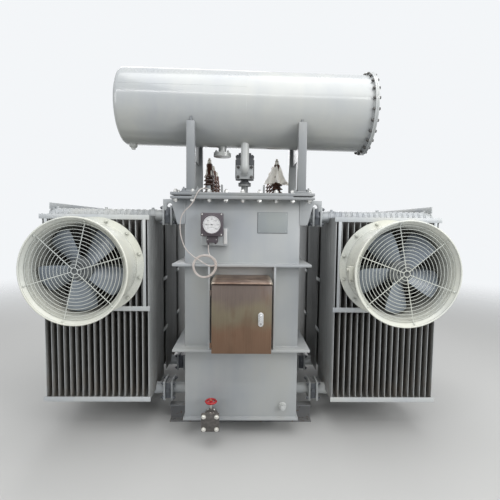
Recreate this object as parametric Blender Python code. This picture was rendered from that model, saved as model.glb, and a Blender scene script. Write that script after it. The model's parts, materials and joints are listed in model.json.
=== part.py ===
# Oil-filled power transformer with six plate radiators, two fans and a conservator on top.
# Metres, +Z up. The narrow end with the control cabinet faces -Y, the long sides face -X and +X.
from math import cos, pi, radians, sin

import bmesh
import bpy
from mathutils import Matrix, Vector

for old in list(bpy.data.objects):
    bpy.data.objects.remove(old, do_unlink=True)

# Clearances shared by every piece.
TOUCH = 0.0003
OVERRUN = 0.002

# Flats round a small fitting and round a larger one.
SMALL_STEPS = 12
ROUND_STEPS = 16

# Base beams, channel sections laid across under the tank.
BASE_HEIGHT = 0.142
BASE_LENGTH = 1.160
BASE_FLANGE = 0.062
BASE_WEB = 0.009
BASE_INSET = 0.290
BASE_HOLE_RADIUS = 0.011
BASE_HOLE_FROM_END = 0.035

# Tank shell, bottom plate and rim.
TANK_WIDTH = 0.840
TANK_LENGTH = 1.866
TANK_ABOVE_PLATES = 0.138
WALL = 0.010
BOTTOM_THICKNESS = 0.020
BOTTOM_LIP = 0.013
RIM_OUT = 0.090
RIM_THICKNESS = 0.018
GASKET_THICKNESS = 0.008
GASKET_INSET = 0.022
COVER_THICKNESS = 0.020

# Stiffening bands round the tank and the ribs between them.
BAND_OUT = 0.080
BAND_THICKNESS = 0.018
UPPER_BAND_DROP = 0.490
LOWER_BAND_DROP = 1.114
RIB_THICKNESS = 0.015
RIB_FROM_MIDDLE = 0.229

# Lifting lugs, thick plates with an arched recess under the hook.
LUG_THICKNESS = 0.025
LUG_OUT = 0.158
LUG_HEIGHT = 0.180

# Radiators: banks of plates strung on two header pipes.
PLATE_COUNT = 18
PLATE_PITCH = 0.045
PLATE_THICKNESS = 0.012
PLATE_WIDTH = 0.530
PLATE_HEIGHT = 1.408
BANK_GAP = 0.110
BANK_INSET = 0.028
PLATE_FROM_MIDDLE = 0.691
PLATE_LEVEL = 0.125
HEADER_RADIUS = 0.0445
HEADER_SIDES = 6
HEADER_BELOW_FOOT = 0.004
HEADER_ABOVE_TOP = 0.008
HEADER_PAST_PLATES = 0.065
HEADER_CONE = 0.022
FLANGE_SIZE = 0.154
FLANGE_THICKNESS = 0.015
VALVE_SIZE = 0.132
VALVE_THICKNESS = 0.046
STUB_LENGTH = 0.133
TIE_THICKNESS = 0.008
TIE_HEIGHT = 0.050
TIE_FROM_END = 0.024
TIE_PAST_HEADER = 0.070

# Flat-bar frame on the front of each front bank.
FRAME_DEPTH = 0.010
FRAME_BAR = 0.035
FRAME_SIDE_BAR = 0.022
FRAME_PAST_PLATES = 0.015
FRAME_TOP_DROP = 0.169
FRAME_MIDDLE_DROP = 0.847
FRAME_BOTTOM_LEVEL = 0.130

# Fans.
FAN_DROP = 0.508
FAN_FLANGE_RADIUS = 0.357
FAN_SHEET = 0.005
FAN_DEPTH = 0.377
FAN_DRUM_RADIUS = 0.306
FAN_MOUTH_RADIUS = 0.348
FAN_MOUTH_DEPTH = 0.095
FAN_LIP = 0.012
FAN_STEPS = 24
MOUTH_STEPS = 3
MOTOR_RADIUS = 0.082
MOTOR_LENGTH = 0.140
MOTOR_FROM_FLANGE = 0.018
MOTOR_ARM_WIDTH = 0.030
MOTOR_ARM_THICKNESS = 0.008
SHAFT_RADIUS = 0.014
SHAFT_LENGTH = 0.026
HUB_RADIUS = 0.078
HUB_LENGTH = 0.070
BLADE_COUNT = 5
BLADE_RADIUS = 0.286
BLADE_ROOT_SHARE = 0.8
BLADE_ROOT_CHORD = 0.100
BLADE_TIP_CHORD = 0.205
BLADE_THICKNESS = 0.004
BLADE_ROOT_PITCH = 38.0
BLADE_TIP_PITCH = 24.0
GUARD_RING_SHARES = (0.18, 0.52, 0.86)
GUARD_RING_STEPS = 18
GUARD_WIRE = 0.006
GUARD_FROM_LIP = 0.030
GUARD_BAR_SHARES = (0.9, 0.8, 0.7)
GUARD_TURN_LEFT = 17.0
GUARD_TURN_RIGHT = 40.0

# Conservator, a cylinder laid across above the front end of the cover, its flanged end a little lower.
CONSERVATOR_RADIUS = 0.281
CONSERVATOR_SHEET = 0.006
CONSERVATOR_LEFT = 0.930
CONSERVATOR_RIGHT = 0.938
CONSERVATOR_BACK = 0.224
CONSERVATOR_RISE = 0.652
CONSERVATOR_TILT = 0.93
CONSERVATOR_STEPS = 28
END_RING_RADIUS = 0.305
END_RING_THICKNESS = 0.014
END_COVER_THICKNESS = 0.012
END_DOME = 0.014
DOME_FOOT_SHARE = 0.92
DOME_TOP_SHARE = 0.80
GAUGE_RADIUS = 0.062
GAUGE_DEPTH = 0.060
GAUGE_DROP = 0.075
GAUGE_SIDE_SHARE = 0.70
GAUGE_FACE_SHARE = 0.85
SUMP_RADIUS = 0.032
SUMP_DEPTH = 0.045
SUMP_FROM_MIDDLE = 0.846
FILL_STUB_FROM_MIDDLE = 0.158
FILL_STUB_RADIUS = 0.031
FILL_STUB_DROP = 0.075
FILL_FLANGE_RADIUS = 0.068
FILL_FLANGE_THICKNESS = 0.030

# Conservator supports.
SUPPORT_LEFT = 0.372
SUPPORT_RIGHT = 0.420
POST_SIZE = 0.060
POST_RISE = 0.501
POST_SPREAD = 0.508
SADDLE_THICKNESS = 0.012
SADDLE_RISE = 0.261
FOOT_LENGTH = 0.130
FOOT_THICKNESS = 0.012

# Gas relay between the conservator and the cover.
RELAY_SIDE = 0.013
RELAY_PIPE_RADIUS = 0.031
RELAY_PIPE_BACK = 0.150
RELAY_RISE = 0.183
RELAY_FLANGE_WIDTH = 0.133
RELAY_FLANGE_HEIGHT = 0.104
RELAY_FLANGE_THICKNESS = 0.014
RELAY_ELBOW_REACH = 0.062
RELAY_BODY_WIDTH = 0.148
RELAY_BODY_DEPTH = 0.150
RELAY_BODY_TOP = 0.158
RELAY_BODY_DROP = 0.052
RELAY_NECK_RADIUS = 0.050
RELAY_NECK_HEIGHT = 0.036
RISER_RADIUS = 0.027

# Bushings on the cover.
BUSHING_FIRST = 0.620
BUSHING_PITCH = 0.440
BUSHING_COUNT = 3
BUSHING_SIDE = 0.298
BUSHING_STEPS = 10
BUSHING_RADIUS = 0.062
BUSHING_HEIGHT = 0.355
# Radius and height from the clamp ring to the terminal, as shares of the bushing's own.
BUSHING_SHARES = ((1, 0), (1, 0.10), (0.65, 0.16), (0.95, 0.25), (0.64, 0.37), (0.92, 0.46),
                  (0.60, 0.60), (0.45, 0.72), (0.42, 0.84), (0.16, 0.86), (0.16, 1))
WRAP_TOP_RADIUS = 0.026
WRAP_FOOT_RADIUS = 0.112
WRAP_SHEET = 0.002
WRAP_LEVEL = 0.122

# Small fittings on the cover.
POCKET_RADIUS = 0.016
POCKET_HEIGHT = 0.060
POCKET_SIDE = 0.255
POCKET_BACK = 0.070
COVER_PLATE_HEIGHT = 0.085
COVER_PLATE_LENGTH = 0.070
COVER_PLATE_THICKNESS = 0.012
COVER_PLATE_SIDE = 0.165
COVER_PLATE_BACK = 0.240

# Control cabinet.
CABINET_WIDTH = 0.404
CABINET_HEIGHT = 0.478
CABINET_DROP = 1.073
CABINET_SHEET = 0.004
CABINET_DEPTH = 0.232
CABINET_RAIL = 0.014
CABINET_RAIL_HEIGHT = 0.030
ROOF_SHEET = 0.005
ROOF_RISE = 0.024
ROOF_OVERHANG = 0.018
ROOF_SIDE_OVERHANG = 0.004
ROOF_LIP = 0.012
DOOR_THICKNESS = 0.018
DOOR_GAP = 0.006
DOOR_EDGE = 0.006
HINGE_RADIUS = 0.006
HINGE_OUT = 0.0075
HINGE_LEAF = 0.005
HINGE_LENGTH = 0.036
HINGE_FROM_END = 0.060
LOCK_WIDTH = 0.036
LOCK_HEIGHT = 0.096
LOCK_THICKNESS = 0.005
LOCK_FROM_EDGE = 0.073
LOCK_ABOVE_MIDDLE = 0.002
HANDLE_WIDTH = 0.022
HANDLE_LENGTH = 0.060
HANDLE_THICKNESS = 0.009
HANDLE_CLEAR = 0.006
HANDLE_PIVOT_RADIUS = 0.009
HANDLE_PIVOT_DROP = 0.024

# Oil thermometer, its bracket and its capillary.
BRACKET_WIDTH = 0.190
BRACKET_HEIGHT = 0.128
BRACKET_SHEET = 0.004
BRACKET_OUT = 0.050
BRACKET_SIDE = 0.203
BRACKET_DROP = 0.349
THERMOMETER_SIDE = 0.214
THERMOMETER_DROP = 0.281
THERMOMETER_WIDTH = 0.156
THERMOMETER_HEIGHT = 0.164
THERMOMETER_DEPTH = 0.078
BEZEL_RADIUS = 0.072
BEZEL_DEPTH = 0.006
JUNCTION_WIDTH = 0.078
JUNCTION_HEIGHT = 0.046
JUNCTION_DEPTH = 0.052
GLAND_RADIUS = 0.008
GLAND_LENGTH = 0.016
CAPILLARY_RADIUS = 0.0032
COIL_MIDDLE_SIDE = 0.267
COIL_DROP = 0.495
COIL_RADIUS = 0.090
COIL_BAND = 0.020
COIL_THICKNESS = 0.014
COIL_STEPS = 24

# Name plate, drain valve and sampling valve.
PLATE_SIDE = 0.220
PLATE_SIGN_DROP = 0.256
PLATE_SIGN_WIDTH = 0.216
PLATE_SIGN_HEIGHT = 0.150
PLATE_SIGN_THICKNESS = 0.004
DRAIN_SIDE = 0.217
DRAIN_LEVEL = 0.062
DRAIN_PIPE_RADIUS = 0.030
DRAIN_PIPE_LENGTH = 0.045
DRAIN_BODY = 0.096
DRAIN_BODY_LENGTH = 0.080
DRAIN_FLANGE = 0.130
DRAIN_FLANGE_THICKNESS = 0.014
DRAIN_BONNET_RADIUS = 0.028
DRAIN_BONNET_HEIGHT = 0.030
WHEEL_RADIUS = 0.045
WHEEL_RIM = 0.009
WHEEL_HUB_RADIUS = 0.013
WHEEL_HUB_HEIGHT = 0.022
WHEEL_LEVEL = 0.118
WHEEL_WEB = 0.006
WHEEL_STEPS = 16
STEM_RADIUS = 0.007
SAMPLE_SIDE = 0.315
SAMPLE_LEVEL = 0.110
SAMPLE_BOSS_RADIUS = 0.026
SAMPLE_BOSS_LENGTH = 0.020
SAMPLE_PLUG_RADIUS = 0.019
SAMPLE_PLUG_LENGTH = 0.030

# The capillary's two free stretches, points chosen by hand in the tank's own frame.
CAPILLARY_DOWN = [
    (-0.2410, -0.0840, 1.4697), (-0.2410, -0.0841, 1.4610), (-0.2408, -0.0845, 1.4520),
    (-0.2402, -0.0851, 1.4430), (-0.2393, -0.0858, 1.4340), (-0.2382, -0.0864, 1.4250),
    (-0.2370, -0.0869, 1.4160), (-0.2357, -0.0873, 1.4043),
]
CAPILLARY_UP = [
    (-0.3346, -0.0873, 1.3796), (-0.3450, -0.0871, 1.3875), (-0.3585, -0.0866, 1.3980),
    (-0.3725, -0.0858, 1.4095), (-0.3860, -0.0848, 1.4220), (-0.3980, -0.0836, 1.4360),
    (-0.4085, -0.0822, 1.4530), (-0.4175, -0.0808, 1.4730), (-0.4260, -0.0796, 1.4960),
    (-0.4335, -0.0788, 1.5210), (-0.4388, -0.0784, 1.5490), (-0.4415, -0.0784, 1.5790),
    (-0.4418, -0.0788, 1.6100), (-0.4390, -0.0796, 1.6395), (-0.4322, -0.0806, 1.6665),
    (-0.4213, -0.0820, 1.6900), (-0.4065, -0.0838, 1.7095), (-0.3890, -0.0860, 1.7265),
    (-0.3712, -0.0885, 1.7425), (-0.3560, -0.0908, 1.7595), (-0.3445, -0.0930, 1.7780),
    (-0.3360, -0.0950, 1.7970), (-0.3282, -0.0965, 1.8150), (-0.3205, -0.0970, 1.8310),
    (-0.3130, -0.0955, 1.8430), (-0.3060, -0.0895, 1.8530), (-0.2990, -0.0770, 1.8615),
    (-0.2910, -0.0590, 1.8680), (-0.2830, -0.0375, 1.8725), (-0.2750, -0.0140, 1.8755),
    (-0.2675, 0.0080, 1.8768), (-0.2610, 0.0260, 1.8770), (-0.2567, 0.0410, 1.8770),
    (-0.2550, 0.0541, 1.8770),
]

# Levels and places that follow from the sizes above. Z is 0 at the ground. The tank is as tall as its
# radiators need, and each side has as many banks as its length takes. A drop is measured down from
# the tank's top edge, and a rise up from the cover.
TANK_HEIGHT = PLATE_LEVEL + PLATE_HEIGHT + TANK_ABOVE_PLATES
TANK_TOP = BASE_HEIGHT + TANK_HEIGHT
COVER_LEVEL = TANK_TOP + GASKET_THICKNESS
COVER_TOP = COVER_LEVEL + COVER_THICKNESS
HALF_WIDTH = TANK_WIDTH / 2
BANK_PITCH = PLATE_WIDTH + BANK_GAP
BANK_COUNT = int((TANK_LENGTH - BANK_INSET + BANK_GAP) / BANK_PITCH)
HEADER_LOW = BASE_HEIGHT + PLATE_LEVEL - HEADER_BELOW_FOOT
HEADER_HIGH = BASE_HEIGHT + PLATE_LEVEL + PLATE_HEIGHT + HEADER_ABOVE_TOP
STACK_WIDTH = (PLATE_COUNT - 1) * PLATE_PITCH + PLATE_THICKNESS
HEADER_END = PLATE_FROM_MIDDLE + STACK_WIDTH + HEADER_PAST_PLATES
STUB_END = HALF_WIDTH + STUB_LENGTH + FLANGE_THICKNESS
FRAME_FRONT = BANK_INSET - TOUCH - FRAME_DEPTH
FAN_BACK = FRAME_FRONT - TOUCH
FAN_FRONT = FAN_BACK - FAN_DEPTH
FAN_SIDE = PLATE_FROM_MIDDLE + STACK_WIDTH / 2
FRAME_INNER = PLATE_FROM_MIDDLE - FRAME_PAST_PLATES / 2
FRAME_OUTER = PLATE_FROM_MIDDLE + STACK_WIDTH + FRAME_PAST_PLATES
REAR_END = TANK_LENGTH + RIM_OUT
# The part's own frame has its origin under the middle of its bounding box.
FRAME_SHIFT = -(FAN_FRONT + REAR_END) / 2


def finish(name, colour, roughness, metallic):
    """One Principled material for one piece."""
    material = bpy.data.materials.new(name)
    material.use_nodes = True
    shader = material.node_tree.nodes["Principled BSDF"]
    shader.inputs["Base Color"].default_value = (*colour, 1)
    shader.inputs["Roughness"].default_value = roughness
    shader.inputs["Metallic"].default_value = metallic
    return material


TANK_PAINT = ((0.36, 0.38, 0.39), 0.45, 0.0)
FAN_PAINT = ((0.62, 0.64, 0.62), 0.45, 0.0)
RADIATOR_PAINT = ((0.42, 0.43, 0.42), 0.5, 0.0)
DARK_PAINT = ((0.05, 0.06, 0.08), 0.5, 0.0)
STEEL = ((0.55, 0.55, 0.55), 0.35, 1.0)
BRONZE_STEEL = ((0.45, 0.38, 0.30), 0.3, 1.0)
PORCELAIN = ((0.13, 0.04, 0.02), 0.15, 0.0)
RUBBER = ((0.02, 0.02, 0.02), 0.8, 0.0)
RED = ((0.5, 0.01, 0.02), 0.4, 0.0)
GREY_PLASTIC = ((0.12, 0.12, 0.13), 0.5, 0.0)
WHITE_WIRE = ((0.75, 0.74, 0.70), 0.5, 0.0)
FILM = ((0.75, 0.72, 0.66), 0.3, 0.0)


def pivot(name, place, parent=None):
    """An empty at a joint's axis, or at the whole part's reference point."""
    empty = bpy.data.objects.new(name, None)
    bpy.context.collection.objects.link(empty)
    empty.location = place
    empty.parent = parent
    return empty


ROOT = pivot("transformer", (0, FRAME_SHIFT, 0))


def link(name, mesh, parent):
    """Put a mesh in the scene under its parent."""
    piece = bpy.data.objects.new(name, mesh)
    bpy.context.collection.objects.link(piece)
    piece.parent = parent
    return piece


def mesh_from(name, build):
    """A mesh made by a function that fills a bmesh."""
    shape = bmesh.new()
    build(shape)
    bmesh.ops.recalc_face_normals(shape, faces=shape.faces)
    mesh = bpy.data.meshes.new(name)
    shape.to_mesh(mesh)
    shape.free()
    return mesh


def add_box(low, high):
    """A box between two corners."""
    def build(shape):
        made = bmesh.ops.create_cube(shape, size=1)["verts"]
        for vert in made:
            vert.co = Vector((h if c > 0 else l for c, l, h in zip(vert.co, low, high)))
    return build


def add_prism(outline, start, end, axis="y"):
    """An outline in the other two axes, drawn out along one axis."""
    def place(a, b, along):
        if axis == "x":
            return (along, a, b)
        if axis == "y":
            return (a, along, b)
        return (a, b, along)

    def build(shape):
        near = [shape.verts.new(place(a, b, start)) for a, b in outline]
        far = [shape.verts.new(place(a, b, end)) for a, b in outline]
        shape.faces.new(near)
        shape.faces.new(far)
        for i in range(len(outline)):
            j = (i + 1) % len(outline)
            shape.faces.new((near[i], near[j], far[j], far[i]))
    return build


def add_turned(profile, steps, axis="z", centre=(0, 0, 0)):
    """A solid turned from a profile of (radius, height) points, top to bottom at its outer side."""
    turn = {"x": Matrix.Rotation(pi / 2, 4, "Y"), "y": Matrix.Rotation(-pi / 2, 4, "X"), "z": Matrix()}[axis]

    def build(shape):
        rings = []
        for radius, height in profile:
            if radius == 0:
                rings.append([shape.verts.new((0, 0, height))])
                continue
            ring = []
            for step in range(steps):
                angle = 2 * pi * (step + 0.5) / steps
                ring.append(shape.verts.new((radius * cos(angle), radius * sin(angle), height)))
            rings.append(ring)
        pairs = list(zip(rings, rings[1:]))
        if profile[0][0] > 0 and profile[-1][0] > 0:
            pairs.append((rings[-1], rings[0]))
        for first, second in pairs:
            for i in range(steps):
                j = (i + 1) % steps
                corners = (first[i % len(first)], first[j % len(first)],
                           second[j % len(second)], second[i % len(second)])
                shape.faces.new(list(dict.fromkeys(corners)))
        moved = {vert for ring in rings for vert in ring}
        bmesh.ops.transform(shape, matrix=Matrix.Translation(centre) @ turn, verts=list(moved))
    return build


def add_cylinder(radius, start, end, steps, axis="z", centre=(0, 0)):
    """A plain cylinder along an axis; the centre is given in the other two axes."""
    a, b = centre
    place = {"x": (start, a, b), "y": (a, start, b), "z": (a, b, start)}[axis]
    profile = [(0, end - start), (radius, end - start), (radius, 0), (0, 0)]
    return add_turned(profile, steps, axis, place)


def add_all(*builders):
    """Several shapes that don't touch each other, in one mesh."""
    def build(shape):
        for builder in builders:
            builder(shape)
    return build


def operand(name, builder, parent):
    """A cutter or a joined shape, kept out of the part itself."""
    piece = link(name, mesh_from(name, builder), parent)
    piece.hide_render = True
    piece.display_type = "WIRE"
    return piece


def solid(name, look, builder, parent=ROOT, joined=(), cut=(), smooth=False):
    """One named piece: a first shape, then shapes joined to it and shapes cut from it."""
    mesh = mesh_from(name, builder)
    mesh.materials.append(finish(name, *look))
    piece = link(name, mesh, parent)
    for kind, shapes in (("UNION", joined), ("DIFFERENCE", cut)):
        for count, shape in enumerate(shapes):
            modifier = piece.modifiers.new(f"{kind.lower()}_{count}", "BOOLEAN")
            modifier.operation = kind
            modifier.solver = "EXACT"
            modifier.object = operand(f"{name}_{kind.lower()}_{count}", shape, parent)
    if smooth:
        mesh.shade_smooth()
        mesh.set_sharp_from_angle(angle=radians(40))
    return piece


def mirror_x(builder):
    """The same shape on the other side of the middle plane."""
    def build(shape):
        builder(shape)
        for vert in shape.verts:
            vert.co.x = -vert.co.x
        bmesh.ops.reverse_faces(shape, faces=shape.faces)
    return build


def on_side(side, builder):
    """Shapes are drawn on the +X side; side -1 gives the mirrored one."""
    return builder if side > 0 else mirror_x(builder)


SIDES = (("left", -1), ("right", 1))


def make_base():
    """Two channels across under the tank, open towards the ends of the tank."""
    for place, back, facing in (("front", BASE_INSET, -1), ("rear", TANK_LENGTH - BASE_INSET, 1)):
        web = back - facing * BASE_WEB
        tip = back + facing * BASE_FLANGE
        outline = [(back, BASE_WEB), (tip, BASE_WEB), (tip, 0), (web, 0), (web, BASE_HEIGHT - TOUCH),
                   (tip, BASE_HEIGHT - TOUCH), (tip, BASE_HEIGHT - BASE_WEB), (back, BASE_HEIGHT - BASE_WEB)]
        hole_place = back + facing * BASE_FLANGE / 2
        holes = [add_cylinder(BASE_HOLE_RADIUS, -OVERRUN, BASE_WEB + OVERRUN, SMALL_STEPS, "z",
                              (side * (BASE_LENGTH / 2 - BASE_HOLE_FROM_END), hole_place))
                 for _, side in SIDES]
        solid(f"base_channel_{place}", TANK_PAINT,
              add_prism(outline, -BASE_LENGTH / 2, BASE_LENGTH / 2, "x"), cut=[add_all(*holes)])


def header_places():
    """Depth and level of each header pipe along one side."""
    for bank in range(BANK_COUNT):
        back = BANK_INSET + bank * BANK_PITCH + PLATE_WIDTH / 2
        yield back, HEADER_LOW
        yield back, HEADER_HIGH


def square_flange(start, end, size, centre):
    """A square flange across the X axis."""
    back, level = centre
    half = size / 2
    return add_box((start, back - half, level - half), (end, back + half, level + half))


def make_tank():
    """Welded shell with the radiator stubs and their flanges, open at the top."""
    outer = add_box((-HALF_WIDTH, 0, BASE_HEIGHT), (HALF_WIDTH, TANK_LENGTH, TANK_TOP))
    bottom = add_box((-HALF_WIDTH - BOTTOM_LIP, -BOTTOM_LIP, BASE_HEIGHT),
                     (HALF_WIDTH + BOTTOM_LIP, TANK_LENGTH + BOTTOM_LIP, BASE_HEIGHT + BOTTOM_THICKNESS))
    inside = add_box((-HALF_WIDTH + WALL, WALL, BASE_HEIGHT + BOTTOM_THICKNESS),
                     (HALF_WIDTH - WALL, TANK_LENGTH - WALL, TANK_TOP + OVERRUN))
    stubs, flanges = [], []
    root = HALF_WIDTH - WALL / 2
    for back, level in header_places():
        cone = [(0, STUB_END - root), (HEADER_RADIUS, STUB_END - root),
                (HEADER_RADIUS, HEADER_CONE + WALL / 2), (HEADER_RADIUS + HEADER_CONE, WALL / 2),
                (HEADER_RADIUS + HEADER_CONE, 0), (0, 0)]
        stub = add_turned(cone, HEADER_SIDES, "x", (root, back, level))
        flange = square_flange(STUB_END - FLANGE_THICKNESS, STUB_END, FLANGE_SIZE, (back, level))
        for _, side in SIDES:
            stubs.append(on_side(side, stub))
            flanges.append(on_side(side, flange))
    solid("tank_shell", TANK_PAINT, outer, joined=[bottom, add_each(stubs), add_each(flanges)], cut=[inside])


def add_each(builders):
    """Shapes made apart from each other, so that mirroring one leaves the others alone."""
    def build(shape):
        for builder in builders:
            mesh = mesh_from("piece", builder)
            shape.from_mesh(mesh)
            bpy.data.meshes.remove(mesh)
    return build


def ring_plate(out, level, thickness, inner=TOUCH):
    """A flat frame round the tank, as its outer box and the hole through it."""
    low, high = level, level + thickness
    outer = add_box((-HALF_WIDTH - out, -out, low), (HALF_WIDTH + out, TANK_LENGTH + out, high))
    hole = add_box((-HALF_WIDTH - inner, -inner, low - OVERRUN),
                   (HALF_WIDTH + inner, TANK_LENGTH + inner, high + OVERRUN))
    return outer, hole


def make_rim_and_cover():
    """Flange round the tank's mouth, its gasket and the bolted cover."""
    outer, hole = ring_plate(RIM_OUT, TANK_TOP - RIM_THICKNESS, RIM_THICKNESS)
    solid("tank_rim_flange", TANK_PAINT, outer, cut=[hole])
    outer, hole = ring_plate(RIM_OUT - GASKET_INSET, TANK_TOP + TOUCH, GASKET_THICKNESS - 2 * TOUCH, -WALL)
    solid("cover_gasket", RUBBER, outer, cut=[hole])
    cover = add_box((-HALF_WIDTH - RIM_OUT, -RIM_OUT, COVER_LEVEL),
                    (HALF_WIDTH + RIM_OUT, TANK_LENGTH + RIM_OUT, COVER_TOP))
    pocket = add_cylinder(POCKET_RADIUS, COVER_LEVEL + OVERRUN, COVER_TOP + POCKET_HEIGHT, SMALL_STEPS, "z",
                          (-POCKET_SIDE, POCKET_BACK))
    plates = [add_box((side * COVER_PLATE_SIDE - COVER_PLATE_THICKNESS / 2,
                       COVER_PLATE_BACK - COVER_PLATE_LENGTH / 2, COVER_LEVEL + OVERRUN),
                      (side * COVER_PLATE_SIDE + COVER_PLATE_THICKNESS / 2,
                       COVER_PLATE_BACK + COVER_PLATE_LENGTH / 2, COVER_TOP + COVER_PLATE_HEIGHT))
              for _, side in SIDES]
    relay_back = RELAY_PIPE_BACK + RELAY_ELBOW_REACH + RELAY_FLANGE_THICKNESS + TOUCH + RELAY_BODY_DEPTH / 2
    riser_top = COVER_TOP + RELAY_RISE - RELAY_BODY_DROP - RELAY_NECK_HEIGHT - TOUCH
    riser = add_cylinder(RISER_RADIUS, COVER_LEVEL + OVERRUN, riser_top, SMALL_STEPS, "z",
                         (RELAY_SIDE, relay_back))
    solid("tank_cover", TANK_PAINT, cover, joined=[add_all(pocket, riser, *plates)])


def make_bands():
    """Two flat bands round the tank and the two ribs between them on the front wall."""
    for name, drop in (("upper_band", UPPER_BAND_DROP), ("lower_band", LOWER_BAND_DROP)):
        low = TANK_TOP - drop - BAND_THICKNESS / 2
        outer, hole = ring_plate(BAND_OUT, low, BAND_THICKNESS)
        solid(name, TANK_PAINT, outer, cut=[hole])
    low = TANK_TOP - LOWER_BAND_DROP + BAND_THICKNESS / 2 + TOUCH
    high = TANK_TOP - UPPER_BAND_DROP - BAND_THICKNESS / 2 - TOUCH
    for name, side in SIDES:
        rib = add_box((RIB_FROM_MIDDLE, -BAND_OUT, low), (RIB_FROM_MIDDLE + RIB_THICKNESS, -TOUCH, high))
        solid(f"cabinet_rib_{name}", TANK_PAINT, on_side(side, rib))


# Corners of the lug as shares of its reach out from the wall and of its height down from the rim.
LUG_SHARES = ((0, 0), (1, 0), (1, 0.16), (0.96, 0.36), (0.91, 0.44), (0.85, 0.43), (0.80, 0.33),
              (0.74, 0.20), (0.66, 0.15), (0.61, 0.18), (0.57, 0.25), (0.36, 0.96), (0.30, 1), (0, 1))


def make_lugs():
    """Four thick hook plates welded to the tank's corners under the rim."""
    top = TANK_TOP - RIM_THICKNESS - TOUCH
    outline = [(HALF_WIDTH + TOUCH + out * LUG_OUT, top - down * LUG_HEIGHT) for out, down in LUG_SHARES]
    for place, start in (("front", 0), ("rear", TANK_LENGTH - LUG_THICKNESS)):
        for name, side in SIDES:
            plate = add_prism(outline, start, start + LUG_THICKNESS, "y")
            solid(f"lifting_lug_{place}_{name}", TANK_PAINT, on_side(side, plate))


def make_radiators():
    """Three banks of plates on each long side, on header pipes; the front one has a low cross bar."""
    low = BASE_HEIGHT + PLATE_LEVEL
    for bank in range(BANK_COUNT):
        front = BANK_INSET + bank * BANK_PITCH
        middle = front + PLATE_WIDTH / 2
        plates, pipes, flanges, valves = [], [], [], []
        for count in range(PLATE_COUNT):
            start = PLATE_FROM_MIDDLE + count * PLATE_PITCH
            plates.append(add_box((start, front, low),
                                  (start + PLATE_THICKNESS, front + PLATE_WIDTH, low + PLATE_HEIGHT)))
        valve_start = STUB_END + TOUCH
        flange_start = valve_start + VALVE_THICKNESS
        for level in (HEADER_LOW, HEADER_HIGH):
            pipes.append(add_cylinder(HEADER_RADIUS, flange_start + OVERRUN, HEADER_END, HEADER_SIDES, "x",
                                      (middle, level)))
            flanges.append(square_flange(flange_start, flange_start + FLANGE_THICKNESS, FLANGE_SIZE,
                                         (middle, level)))
            valves.append(square_flange(valve_start, flange_start + OVERRUN, VALVE_SIZE, (middle, level)))
        groups = [pipes, flanges, valves]
        if bank == 0:
            bar = BASE_HEIGHT + FRAME_BOTTOM_LEVEL
            groups.append([add_box((FRAME_INNER, FRAME_FRONT, bar),
                                   (FRAME_OUTER, front + OVERRUN, bar + FRAME_BAR))])
        for name, side in SIDES:
            shapes = [on_side(side, add_all(*group)) for group in groups]
            solid(f"radiator_{name}_{bank + 1}", RADIATOR_PAINT, on_side(side, add_all(*plates)),
                  joined=shapes)


def make_tie_bars():
    """A flat bar on edge along the tops of the headers of each side, near their outer ends."""
    low = HEADER_HIGH + HEADER_RADIUS * cos(pi / HEADER_SIDES) + TOUCH
    outer = HEADER_END - TIE_FROM_END
    start = BANK_INSET + PLATE_WIDTH / 2 - TIE_PAST_HEADER
    end = start + (BANK_COUNT - 1) * BANK_PITCH + 2 * TIE_PAST_HEADER
    for name, side in SIDES:
        bar = add_box((outer - TIE_THICKNESS, start, low), (outer, end, low + TIE_HEIGHT))
        solid(f"radiator_tie_bar_{name}", TANK_PAINT, on_side(side, bar))


def make_front_frames():
    """Two cross bars on the front bank's plate edges and two upright bars, which carry the fan."""
    back = BANK_INSET - TOUCH
    bars = [add_box((FRAME_INNER, FRAME_FRONT, level),
                    (FRAME_OUTER, back, level + FRAME_BAR))
            for level in (TANK_TOP - FRAME_MIDDLE_DROP, TANK_TOP - FRAME_TOP_DROP)]
    low = TANK_TOP - FRAME_MIDDLE_DROP + FRAME_BAR / 2
    high = TANK_TOP - FRAME_TOP_DROP + FRAME_BAR / 2
    uprights = []
    for away in (-FAN_FLANGE_RADIUS, FAN_FLANGE_RADIUS):
        middle = FAN_SIDE + away
        uprights.append(add_box((middle - FRAME_SIDE_BAR / 2, FRAME_FRONT, low),
                                (middle + FRAME_SIDE_BAR / 2, back, high)))
    for name, side in SIDES:
        solid(f"radiator_frame_{name}", RADIATOR_PAINT, on_side(side, add_all(*bars)),
              joined=[on_side(side, add_all(*uprights))])


def mouth_radius(forward):
    """Radius of the mouth's inner side at a distance in front of the straight drum."""
    share = min(max(forward / (FAN_MOUTH_DEPTH - FAN_LIP), 0), 1)
    flare = FAN_MOUTH_RADIUS - FAN_DRUM_RADIUS
    return FAN_DRUM_RADIUS - FAN_SHEET + flare * (1 - cos(share * pi / 2))


def shroud_profile():
    """Radius and distance in front of the back face, from the flange along the outside to the mouth
    and back along the inside."""
    straight = FAN_DEPTH - FAN_MOUTH_DEPTH
    outer = [(FAN_FLANGE_RADIUS, 0), (FAN_FLANGE_RADIUS, FAN_SHEET), (FAN_DRUM_RADIUS, FAN_SHEET)]
    inner = []
    for step in range(MOUTH_STEPS + 1):
        forward = step * (FAN_MOUTH_DEPTH - FAN_LIP) / MOUTH_STEPS
        outer.append((mouth_radius(forward) + FAN_SHEET, straight + forward))
        inner.append((mouth_radius(forward), straight + forward))
    outer.append((FAN_MOUTH_RADIUS, FAN_DEPTH))
    inner.append((FAN_MOUTH_RADIUS - FAN_SHEET, FAN_DEPTH))
    return outer + inner[::-1] + [(FAN_DRUM_RADIUS - FAN_SHEET, 0)]


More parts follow.
